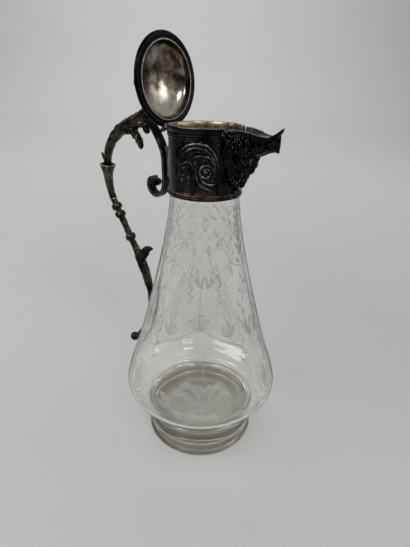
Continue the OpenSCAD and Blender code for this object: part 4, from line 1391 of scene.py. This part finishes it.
@dataclass
class LipOrnament:
    """The cast relief under the lip: an acanthus keel with side leaves and berries."""

    lip: PouringLip
    mount_r: float = 23.04
    out: float = 13.5
    half: float = 11.7
    top: float = 230.784
    deep: float = 32.76
    nose: float = 5.0
    stations: Pairs = ((0.13, 1.08, 0.976), (0.3, 1.045, 0.932), (0.45, 0.98, 0.8),
                       (0.61, 0.89, 0.7), (0.77, 0.8, 0.653), (0.91, 0.69, 0.56))

    def relief(self) -> Relief:
        """Relief of one side: a is degrees round from the keel, b the share outwards."""
        r = Relief((0, 90), (0, 1), 0.28, 17.0, 0.16)
        leaf = np.array([0.5, 1.0, 1.1, 0.8, 0.25])
        r.stroke([(0, 0), (0, 0.5), (0, 1)], [2.2, 3.0, 2.4, 3.0, 1.8], 1.0, groove=0.3)
        for b in (0.1, 0.33, 0.56, 0.8):
            r.boss(0, b, 2.1, 1.7, 2.1)
        spots = np.random.default_rng(7).uniform((6, 0.04), (84, 0.9), (70, 2))
        for a, b in spots:
            r.boss(a, b, 0.6 + 0.3 * b, 0.6 + 0.3 * b, 1.3 + 0.6 * b)
        for k, b in enumerate((0.05, 0.25, 0.45, 0.65, 0.84)):
            r.stroke([(5, b), (20, b + 0.05), (34, b + 0.13), (46, b + 0.16 - 0.03 * k)],
                     3.6 * leaf, 1.5, groove=0.35)
            r.stroke([(8, b + 0.08), (22, b + 0.12), (33, b + 0.2)], 1.6 * leaf, 0.9, groove=0.2)
        for b in (0.04, 0.24, 0.43, 0.62, 0.8):
            r.stroke([(46, b + 0.1), (58, b), (72, b + 0.02), (80, b + 0.1)], 3.0 * leaf, 1.35,
                     groove=0.35)
            r.stroke([(54, b + 0.1), (64, b + 0.07), (71, b + 0.12)], 1.5 * leaf, 0.9)
        for b in np.arange(0.1, 0.98, 0.1):
            r.boss(85, b, 0.85, 0.85, 0.9)
        for a, b in ((43, 0.3), (48, 0.37), (40, 0.38), (46, 0.46), (52, 0.3)):
            r.boss(a, b, 1.25, 1.2, 1.7)
        for a, b, size in ((86, 0.05, 1.6), (62, 0.04, 1.5), (74, 0.06, 1.1), (27, 0.05, 1.2),
                           (14, 0.2, 1.0)):
            r.boss(a, b, size, size, 1.5)
        fade = np.minimum(1, np.minimum(17.0 - r.v, 25.2 - r.u) / 1.2)
        r.height = (r.height + 0.12 * ripple(r.v, r.u * 0.9, 8, 2.4, most=3)) * np.clip(fade, 0, 1)
        return r

    def ring(self, x: float, half: float, deep: float, turns: np.ndarray) -> np.ndarray:
        """One half-round section under the rim."""
        return np.stack([np.full_like(turns, x), half * np.sin(turns),
                         self.top - deep * np.cos(turns)], -1)

    def build(self) -> None:
        """The casting, displaced outwards by its relief, hollow where it meets the lip."""
        r = self.relief()
        rows = len(r.height)
        turns = np.radians(np.linspace(0, 90, r.height.shape[1]))
        turns = np.concatenate([-turns[:0:-1], turns])
        outer, inner = [], []
        for out, wide, deep in [(0.0, self.half / 11, 1.0), *self.stations]:
            x = self.mount_r - 0.15 + out * self.out
            way = (x - self.lip.x0) / (self.lip.reach - self.lip.x0)
            s = np.asarray(self.lip.stations)
            half = float(np.interp(way, s[:, 0], s[:, 1])) + 0.15
            low = self.top - self.lip.lip_under(way) + 0.15
            outer.append(self.ring(x, wide * 11, deep * self.deep, turns))
            inner.append(self.ring(x, half, low, turns))
        for ring in (outer[0], inner[0]):
            radius = self.mount_r + 0.51 * (ring[:, 2] > 219.2)
            ring[:, 0] = np.sqrt(radius ** 2 - ring[:, 1] ** 2)
        steps = math.ceil(rows / 6)
        share = np.linspace(0, 6 * steps, rows).round().astype(int)
        outer, inner = (flow(np.reshape(side, (7, -1)), steps)[share].reshape(rows, -1, 3)
                        for side in (outer, inner))
        height = np.concatenate([r.height[:, :0:-1], r.height], axis=1)
        near_end = np.clip(np.arange(rows) - rows + 1 + self.nose / r.step, 0, None) * r.step / self.nose
        swell = np.sqrt(np.clip(1 - near_end ** 2.4, 0.002, 1))[:, None, None]
        outer = inner + (outer - inner) * swell
        normal = np.cross(np.gradient(outer, axis=1), np.gradient(outer, axis=0))
        normal /= np.maximum(np.linalg.norm(normal, axis=2), 1e-9)[..., None]
        away = outer - np.array([self.mount_r + 4, 0, self.top])
        normal *= np.sign((normal * away).sum(axis=2).mean())
        outer = outer + normal * height[..., None]
        Shape().skin(np.concatenate([outer, inner[:, ::-1]], axis=1), Ends.FOLD).piece(
            "leaf_casting", BLACK_RELIEF, Slot.TARNISHED, replaces=["lip_ornament"], sharp=70.0)


# ------------------------------------------------------------ bracket, handle
@dataclass
class Bracket:
    """The reeded C scroll behind the mount that carries the handle."""

    band_x: float = -32.9
    width: float = 6.4
    thick: float = 2.8
    mount_z: float = 191.0
    top: tuple[float, float] = (-51.35, 234.34)
    run: tuple[float, float] = (-32.9, 202.07)

    def line(self) -> np.ndarray:
        """The band's centre line in the plane of symmetry."""
        sweep = [(1, 1), (0.73, 0.89), (0.5, 0.75), (0.31, 0.6), (0.135, 0.426), (0.026, 0.235), (0, 0)]
        volute = [(0, 0.18), (-0.11, -0.32), (-0.48, -0.61), (-0.86, -0.465), (-1, -0.11),
                  (-0.89, 0.17), (-0.68, 0.2)]
        upper = [[self.run[k] + s[k] * (self.top[k] - self.run[k]) for k in (0, 1)] for s in sweep]
        lower = [(self.band_x + 14.2 * a, self.mount_z + 14.2 * b) for a, b in volute]
        return flow(upper + lower, 10)

    def band(self) -> None:
        """The band, with three reeds on each face."""
        p = self.line()
        way = np.gradient(p, axis=0)
        way /= np.linalg.norm(way, axis=1)[:, None]
        side = np.c_[-way[:, 1], way[:, 0]]
        half, t = self.width / 2, np.linspace(-1, 1, 31)
        reed = 0.34 * np.abs(np.cos(1.5 * np.pi * t)) ** 0.6
        edge = self.thick / 2 - 0.36 + reed
        section = np.vstack([np.c_[half * t, edge], np.c_[half * t[::-1], -edge[::-1]]])
        n = len(p)
        share = np.ones(n)
        share[-14:] = np.linspace(1, 0.85, 14)
        rows = np.empty((n, len(section), 3))
        rows[..., 0] = p[:, :1] + side[:, :1] * section[:, 1] * share[:, None]
        rows[..., 1] = section[:, 0] * share[:, None]
        rows[..., 2] = p[:, 1:] + side[:, 1:] * section[:, 1] * share[:, None]
        Shape().skin(rows, Ends.FOLD).piece("scroll_band", BLACK_PLATE, Slot.TARNISHED,
                                            replaces=["bracket_band"])

    def volute_eye(self) -> None:
        """The eye that the band winds round, domed at both ends."""
        p = self.line()[-1]
        at = (p[0] + 0.54, 0, p[1] - 2.885)
        t = np.linspace(-np.pi / 2, np.pi / 2, 14)
        profile = np.c_[2.7 * np.cos(t) ** 0.5, 2.9 * np.sin(t)]
        profile[:, 1] += np.sign(profile[:, 1]) * 1.1
        rows = lathe(profile, 48)[..., [0, 2, 1]] + np.array(at)
        Shape().skin(rows).piece("volute_eye", BLACK_PLATE, Slot.TARNISHED,
                                 replaces=["bracket_eye"])

    def buds(self) -> None:
        """Two pointed buds on the outside of the band."""
        shape = Shape()
        for z in (206.2, 199.6):
            t = np.linspace(0, 1, 12)
            line = np.c_[-33.6 - 2.7 * t, 0 * t, z - 0.35 * t]
            shape.skin(tube(line, 1.85 * np.sqrt(np.clip(1 - t ** 2.4, 0.003, 1)), 20))
        shape.piece("band_buds", BLACK_PLATE, Slot.TARNISHED, replaces=["bracket_buds"])

    def web(self) -> None:
        """The thin web between the band and the mount."""
        z = np.linspace(196.5, 216.3, 24)
        line = self.line()
        run = line[line[:, 1] > 195]
        order = np.argsort(run[:, 1])
        outer = np.interp(z, run[order, 1], run[order, 0]) + 1.3
        y = [-1.5, -1.3, 1.3, 1.5]
        rows = np.array([[(-22.95, b, h) for b in y] + [(x, b, h) for b in y[::-1]]
                         for x, h in zip(outer, z)])
        Shape().skin(rows).piece("bracket_web_plate", BLACK_PLATE, Slot.TARNISHED,
                                 replaces=["bracket_web"])

    def build(self) -> None:
        """The whole bracket."""
        self.band()
        self.volute_eye()
        self.buds()
        self.web()


@dataclass
class Handle:
    """The branch-shaped handle, as one casting in four pieces."""

    reach: float = 91.6
    drop: float = 190.4
    tip_z: float = 239.0
    shape: Pairs = (
        (-0.17, -0.009), (0.03, 0.012), (0.165, 0.037), (0.405, 0.064), (0.64, 0.09), (0.815, 0.124),
        (0.918, 0.159), (0.977, 0.196), (0.994, 0.222), (1, 0.258), (0.986, 0.3), (0.954, 0.332),
        (0.9, 0.361), (0.828, 0.387), (0.746, 0.416), (0.657, 0.446), (0.569, 0.474), (0.482, 0.502),
        (0.383, 0.532), (0.275, 0.563), (0.154, 0.602), (0.028, 0.643), (-0.088, 0.689),
        (-0.149, 0.733), (-0.136, 0.785), (-0.068, 0.843), (0.055, 0.901), (0.225, 0.951), (0.398, 0.985))
    points: np.ndarray = field(init=False)

    def __post_init__(self) -> None:
        """Works out the points of the centre line."""
        s = np.asarray(self.shape)
        start = np.interp(s[:, 1], [0.3, 0.7], [47.0, 56.6])
        self.points = np.c_[-start - s[:, 0] * (self.reach - start), self.tip_z - self.drop * s[:, 1]]

    def stretch(self, first: int, widths: Sequence[float], seed: int, rough: float,
                steps: int = 12, sides: int = 48) -> np.ndarray:
        """Rows of a stretch of the handle.

        Args:
            first: The point it starts at.
            widths: Diameters at its points.
            seed: Fixes its bark.
            rough: How far the bark stands out in millimetres.
            steps: Rows between two points.
            sides: Points round a row.

        Returns:
            The rows.
        """
        line = flow(self.points, steps)[first * steps:(first + len(widths) - 1) * steps + 1]
        radii = flow(widths, steps) / 2

        def bark(along: np.ndarray, turn: np.ndarray) -> np.ndarray:
            """Long ridges with finer lumps on them.

            Args:
                along: Millimetres along.
                turn: Radians round.

            Returns:
                Heights in millimetres.
            """
            ridges = ripple(along, turn, seed, 30.0, most=5, waves=12)
            lumps = ripple(along, turn, seed + 1, 5.0, most=7, waves=20)
            return rough * (0.6 * ridges + 0.4 * lumps - 0.5)

        return tube(line, radii, sides, relief=bark)

    def offshoot(self, at: int, shares: Pairs, length: float, widths: Any,
                 flat: float = 1.0, rough: float = 0.34) -> np.ndarray:
        """Rows of a twig with a rounded end, from a point of the handle.

        Args:
            at: The point it grows from.
            shares: Its line from there, as shares of its length.
            length: Its length in millimetres.
            widths: Diameters along it.
            flat: Thickness as a share of the width.
            rough: How far its bark stands out in millimetres.

        Returns:
            The rows.
        """
        line = flow([self.points[at] + length * np.asarray(s) for s in shares], 8)
        share = np.linspace(0, 1, len(line))
        radii = flow(widths, 8) / 2 * np.sqrt(np.clip(1 - share ** 9, 0.06, 1))
        return tube(line, radii, 28, flat,
                    relief=lambda along, turn: rough * (ripple(along, turn, at, 3.4, most=4) - 0.3)
                    * (1 - 0.8 * share[:, None] ** 9))

    def branch(self) -> None:
        """The upper branch with its two cut twigs and the bud over the sleeve."""
        shape = Shape()
        d = 8.6 * np.array([0.55, 0.85, 1.06, 1.14, 1.0, 0.86, 0.75, 0.7, 0.74])
        shape.skin(self.stretch(0, d, 3, 0.42))
        shape.skin(self.offshoot(3, [(0.05, -0.05), (0.27, -0.33), (0.47, -0.57), (0.54, -0.84)],
                                 18.4, 5.6 * np.array([1.35, 1.1, 0.9, 0.7])))
        shape.skin(self.offshoot(2, [(0.09, -0.09), (0.35, -0.47), (0.555, -0.83)], 11.5,
                                 5.6 * np.array([1.2, 0.95, 0.7])))
        for at, (x, z), size in ((2, (0.6, -3.8), 3.0), (3, (3.2, -3.6), 3.5), (3, (-1.6, -4.2), 3.1),
                                 (4, (0.5, 3.0), 2.4)):
            middle = self.points[at] + np.array([x, z])
            shape.skin(ball((middle[0], -1.2, middle[1]), (size, size * 0.9, size * 0.8), 20, 12))
        shape.skin(self.offshoot(7, [(0, -0.21), (-0.56, -0.085), (-0.87, 0.48)], 7.1,
                                 3.8 * np.array([1, 0.84, 0.47])))
        shape.fused(0.3, 2).piece("branch", BROWN_CAST, Slot.PATINA, replaces=[
            "handle_branch", "branch_twigs", "branch_spur"], sharp=75.0)

    def sleeve(self) -> None:
        """The fluted sleeve where branch and stem meet, flared like a calyx."""
        steps = 14
        line = flow(self.points, steps)[8 * steps:12 * steps + 1]
        radii = flow([12, 7.44, 6, 5.3, 5.3], steps) / 2
        share = np.linspace(0, 1, len(line))[:, None]

        def flutes(along: np.ndarray, turn: np.ndarray) -> np.ndarray:
            """Eight flutes that fade towards the stem."""
            return (0.34 * (1 - share) + 0.1) * (np.abs(np.cos(4 * turn)) ** 0.7 - 0.85)

        rows = tube(line, radii, 64, relief=flutes)
        bowl = rows[0].mean(axis=0) + (rows[0] - rows[0].mean(axis=0)) * 0.86
        deep = bowl + (rows[4].mean(axis=0) - rows[0].mean(axis=0))
        Shape().skin(np.concatenate([deep[None], bowl[None], rows])).piece(
            "sleeve_calyx", RUBBED_CAST, Slot.PATINA, replaces=["handle_sleeve"])

    def stem(self) -> None:
        """The stem with its three knots and the leaf spur."""
        shape = Shape()
        d = [5, 5, 5, 5, 5, 5.1, 5.5, 6.375, 7.5, 7.5, 6.45, 5.52]
        shape.skin(self.stretch(12, d, 21, 0.3))
        for i in (13, 14, 17):
            way = self.points[i + 1] - self.points[i - 1]
            way /= np.linalg.norm(way)
            t = np.linspace(-1, 1, 17)
            line = self.points[i] + 2.5 * t[:, None] * way
            swell = 2.5 + 1.6 * np.clip(1 - np.abs(t) ** 3.4, 0, 1) ** 0.7
            shape.skin(tube(line, swell, 40, relief=lambda along, turn, i=i:
                            0.14 * ripple(along, turn, 40 + i, 4.0, most=3)))
        shape.skin(self.offshoot(19, [(0.08, -0.27), (0.36, 0.055), (0.6, 0.31), (0.91, 0.41)], 18.2,
                                 7.6 * np.array([1.2, 1.05, 0.72, 0.26]), 0.9, 0.1))
        shape.fused(0.28, 2).piece("stem", BROWN_CAST, Slot.PATINA, replaces=[
            "handle_stem", "stem_knots", "leaf_spur"], sharp=75.0)

    def tail(self) -> None:
        """The tail that curls away from the glass and ends in a ball."""
        shape = Shape()
        shape.skin(self.stretch(23, [5.52, 4.8, 4.8, 4.51, 4.03, 3.36], 31, 0.18))
        end = self.points[28]
        shape.skin(ball((end[0] - 2.74, 0, end[1] - 2.28), 3.8, 40, 24))
        shape.piece("tail", BROWN_CAST, Slot.PATINA, replaces=["handle_tail", "tail_knob"], sharp=60.0)

    def build(self) -> None:
        """The whole handle, from its tip to the ball."""
        self.branch()
        self.sleeve()
        self.stem()
        self.tail()


# ------------------------------------------------------------------------- lid
@dataclass
class Lid:
    """The domed lid, drawn shut and then turned back about its hinge."""

    hinge: tuple[float, float] = (-25.5, 229.8)
    opened: float = 94.0
    dome_z: float = 234.7
    dome_r: float = 25.6
    dome_h: float = 16.6
    bowl_r: float = 22.0
    bowl_h: float = 9.4
    dome_shape: Pairs = ((1, 0), (0.94, 0.115), (0.8, 0.3), (0.56, 0.51), (0.34, 0.7), (0.2, 0.87),
                         (0.17, 1))

    def turn(self) -> Matrix:
        """The matrix that opens the lid to where it rests."""
        at = Vector((self.hinge[0], 0, self.hinge[1]))
        return (Matrix.Translation(at) @ Matrix.Rotation(math.radians(-self.opened), 4, "Y")
                @ Matrix.Translation(-at))

    def turned(self, profile: Any, name: str, finish: Finish, slot: Slot,
               replaces: Sequence[str], sides: int = 256) -> None:
        """A turned piece of the lid from its closed [r, z] loop.

        Args:
            profile: The loop.
            name: Name of the piece.
            finish: What it is finished in.
            slot: The record's slot.
            replaces: CAD nodes that it stands for.
            sides: Points round the axis.
        """
        p = np.asarray(profile, float)
        ends = Ends.OPEN if p[0, 0] == 0 else Ends.JOIN
        Shape().skin(lathe(p, sides), ends).moved(self.turn()).piece(
            name, finish, slot, Body.LID, replaces)

    def ring(self) -> None:
        """The dark rim ring, rounded outside, with a fine bead at its inner edge."""
        t = np.linspace(-np.pi / 2, np.pi / 2, 15)
        outer = [(26 + 1.18 * math.cos(a), 233.5 + 1.19 * math.sin(a)) for a in t]
        self.turned([(22.82, 232.34), (23.2, 232.31), (23.6, 232.5), (24.0, 232.34), *outer,
                     (22.82, 234.68)], "lid_rim", BLACK_RIM, Slot.TARNISHED, ["lid_ring"])
        self.turned([(22.02, 232.6), (22.2, 232.32), (22.6, 232.31), (22.78, 232.5), (22.78, 234.6),
                     (22.02, 234.6)], "lid_bead", BEAD, Slot.BRIGHT, ["lid_bezel"])

    def dome(self) -> None:
        """The polished bowl inside and the dark dome outside, as two shells, the dome lying just over the
        bowl.
        """
        t = np.linspace(0, np.pi / 2, 48)
        inner = [(self.bowl_r * math.cos(a), self.dome_z + self.bowl_h * math.sin(a)) for a in t]
        inner[-1] = (0.0, inner[-1][1])
        wall = [(r + 0.35 * math.cos(a), z + 0.35 * math.sin(a)) for (r, z), a in zip(inner, t)]
        wall[-1] = (0.0, wall[-1][1])
        self.turned([*inner[::-1], (self.bowl_r, 232.4), (self.bowl_r + 0.01, 234.65), *wall],
                    "lid_bowl", BOWL, Slot.BRIGHT, [])
        shares = flow(self.dome_shape, 12)
        line = 0.14 * sum(np.exp(-((shares[:, 1] - at) / 0.015) ** 2) for at in (0.14, 0.2, 0.8, 0.86))
        outer = [(r * (self.dome_r - 0.14) + more, self.dome_z + 0.01 + z * self.dome_h)
                 for (r, z), more in zip(shares, line)]
        top = self.dome_z + self.dome_h + 0.01
        back = [(r + 0.06, z) for r, z in wall[:-1]] + [(0.0, wall[-1][1] + 0.06)]
        self.turned([(0.0, top), *outer[::-1], *back], "lid_cover", BLACK_RIM, Slot.TARNISHED,
                    ["lid_dome"])

    def finial(self) -> None:
        """The finial: a stepped seat and a flattened button."""
        top = self.dome_z + self.dome_h
        seat = [(0, top + 0.02), (4.0, top + 0.02), (4.14, top + 0.12), (4.1, top + 0.3), (3.2, top + 0.7),
                (2.4, top + 1.2), (2.0, top + 1.9), (1.95, top + 2.2), (0, top + 2.2)]
        self.turned(seat, "finial_foot", BLACK_PLATE, Slot.TARNISHED, ["finial_seat"], 96)
        z = top + 2.21
        t = np.linspace(-1.15, 1.15, 14)
        button = [(0, z), (1.66, z), (1.6, z + 1.4),
                  *[(4.6 * (0.62 + 0.38 * math.cos(a)), z + 6.6 * (0.5 + 0.27 * math.sin(a))) for a in t],
                  (1.7, z + 5.6), (1.2, z + 6.3), (0, z + 6.55)]
        self.turned(button, "finial_knob", BLACK_PLATE, Slot.TARNISHED, ["finial_button"], 96)

    def build(self) -> None:
        """The whole lid."""
        self.ring()
        self.dome()
        self.finial()


# ---------------------------------------------------------------------- studio
@dataclass
class Studio:
    """The pale floor, the soft light and the camera."""

    camera_turn: float = 36.0
    camera_at: tuple[float, float, float] = (1.42, -260.2, 258.6)
    pitch: float = 25.77
    roll: float = 1.41
    lens: float = 27.05
    dark: float = 0.05
    light: float = 0.42
    low: float = -0.05
    high: float = 0.45
    backdrop: float = 0.55

    def to_part(self, x: float, y: float, z: float) -> Vector:
        """A direction or place seen from the camera's side, in the part's frame."""
        c, s = math.cos(math.radians(self.camera_turn)), math.sin(math.radians(self.camera_turn))
        return Vector((x * c - y * s, x * s + y * c, z))

    def camera(self) -> None:
        """The camera at the photograph's viewing angle."""
        p, r = math.radians(self.pitch), math.radians(self.roll)
        ahead = self.to_part(0, math.cos(p), -math.sin(p))
        right = self.to_part(1, 0, 0)
        up = right.cross(ahead)
        right, up = (math.cos(r) * right + math.sin(r) * up, -math.sin(r) * right + math.cos(r) * up)
        turn = Matrix((right, up, -ahead)).transposed().to_4x4()
        data = bpy.data.cameras.new("camera")
        data.lens, data.sensor_width, data.clip_start, data.clip_end = self.lens, 36.0, 0.01, 20.0
        eye = bpy.data.objects.new("camera", data)
        eye.matrix_world = Matrix.Translation(self.to_part(*self.camera_at) * MM) @ turn
        bpy.context.scene.collection.objects.link(eye)
        bpy.context.scene.camera = eye

    def floor(self) -> None:
        """A seamless sheet of pale paper that rises far behind the jug."""
        sheet = flow([(-1300, -0.1), (0, -0.1), (1000, -0.1), (1500, 5), (1900, 90), (2150, 330),
                      (2250, 900), (2280, 2300)], 10)
        rows = np.array([[self.to_part(x, y, z) for x in (-1500, 1500)] for y, z in sheet])
        mesh = Shape().skin(rows, Ends.OPEN, wrap=False).mesh("paper")
        if mesh.polygons[0].normal.z < 0:
            mesh.flip_normals()
        mesh.shade_smooth()
        mesh.materials.append(Matt("pale_paper", "#BCBDBC", "#B9BAB8", 300.0).material())
        paper = bpy.data.objects.new("paper", mesh)
        bpy.context.scene.collection.objects.link(paper)

    def lamp(self, name: str, place: Sequence[float], size: tuple[float, float], power: float,
             aim: Sequence[float] = (0, 0, 120)) -> None:
        """A soft lamp.

        Args:
            name: Its name.
            place: Where it is, from the camera's side, in millimetres.
            size: Its width and height in metres.
            power: Watts.
            aim: What it points at, in millimetres.
        """
        data = bpy.data.lights.new(name, "AREA")
        data.shape, data.size, data.size_y, data.energy = "RECTANGLE", size[0], size[1], power
        lamp = bpy.data.objects.new(name, data)
        at = self.to_part(*place) * MM
        look = self.to_part(*aim) * MM - at
        lamp.matrix_world = Matrix.Translation(at) @ look.to_track_quat("-Z", "Y").to_matrix().to_4x4()
        bpy.context.scene.collection.objects.link(lamp)

    def world(self) -> None:
        """A pale ceiling over a room that is darker towards its floor, and beyond the
        paper a pale backdrop, seen directly and through the glass."""
        world = bpy.data.worlds.new("room")
        world.use_nodes = True
        world.node_tree.nodes.clear()
        way = add(world.node_tree, "ShaderNodeTexCoord").outputs["Object"]
        height = add(world.node_tree, "ShaderNodeSeparateXYZ", {0: way}).outputs[2]
        level = add(world.node_tree, "ShaderNodeMapRange", {
            0: height, 1: self.low, 2: self.high, 3: self.dark, 4: self.light},
            interpolation_type="SMOOTHSTEP").outputs[0]
        rays = add(world.node_tree, "ShaderNodeLightPath").outputs
        seen = add(world.node_tree, "ShaderNodeMath", {
            0: rays["Is Camera Ray"], 1: rays["Is Transmission Ray"]}, operation="MAXIMUM").outputs[0]
        strength = add(world.node_tree, "ShaderNodeMix", {0: seen, 2: level, 3: self.backdrop},
                       data_type="FLOAT").outputs[0]
        sky = add(world.node_tree, "ShaderNodeBackground", {
            "Color": linear("#F1F3F4"), "Strength": strength})
        add(world.node_tree, "ShaderNodeOutputWorld", {"Surface": sky.outputs[0]})
        bpy.context.scene.world = world

    def build(self) -> None:
        """The whole studio."""
        self.camera()
        self.floor()
        self.world()
        self.lamp("window_left", (-750, -450, 850), (1.3, 0.3), 8.5)
        self.lamp("window_right", (600, -1100, 1200), (0.45, 0.25), 5)
        self.lamp("backdrop", (-300, 900, 1700), (1.8, 0.5), 26, aim=(-100, 2300, 700))
        self.lamp("side_wall", (1450, -150, 560), (1.5, 0.7), 2.6)
        self.lamp("side_window", (1460, -100, 590), (0.25, 0.3), 1.2)
        bpy.context.scene.view_settings.view_transform = "Standard"


def dress(nodes: dict[str, bpy.types.Object], finishes: dict[str, Finish]) -> None:
    """Gives CAD nodes that stay their finish.

    Args:
        nodes: The frame's nodes by name.
        finishes: The finish of each node that stays.
    """
    for name, finish in finishes.items():
        for slot in nodes[name].material_slots:
            slot.material = finish.material()
        LOG.info("%s: kept, in %s", name, finish.name)


def main() -> None:
    """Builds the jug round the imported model."""
    logging.basicConfig(level=logging.INFO, format="%(message)s")
    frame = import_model()
    Studio().build()
    dress(frame["nodes"], {
        "plaster_seat": PLASTER, "ornament_drop": WORN_COPPER, "hinge_knuckles": BLACK_PLATE,
        "hinge_pin": STEEL, "lid_knuckle": BLACK_PLATE, "thumb_lug": BLACK_PLATE})
    GlassBody().build()
    Mount().build()
    lip = PouringLip()
    lip.build()
    LipOrnament(lip).build()
    Bracket().build()
    Handle().build()
    Lid().build()


if __name__ == "__main__":
    main()
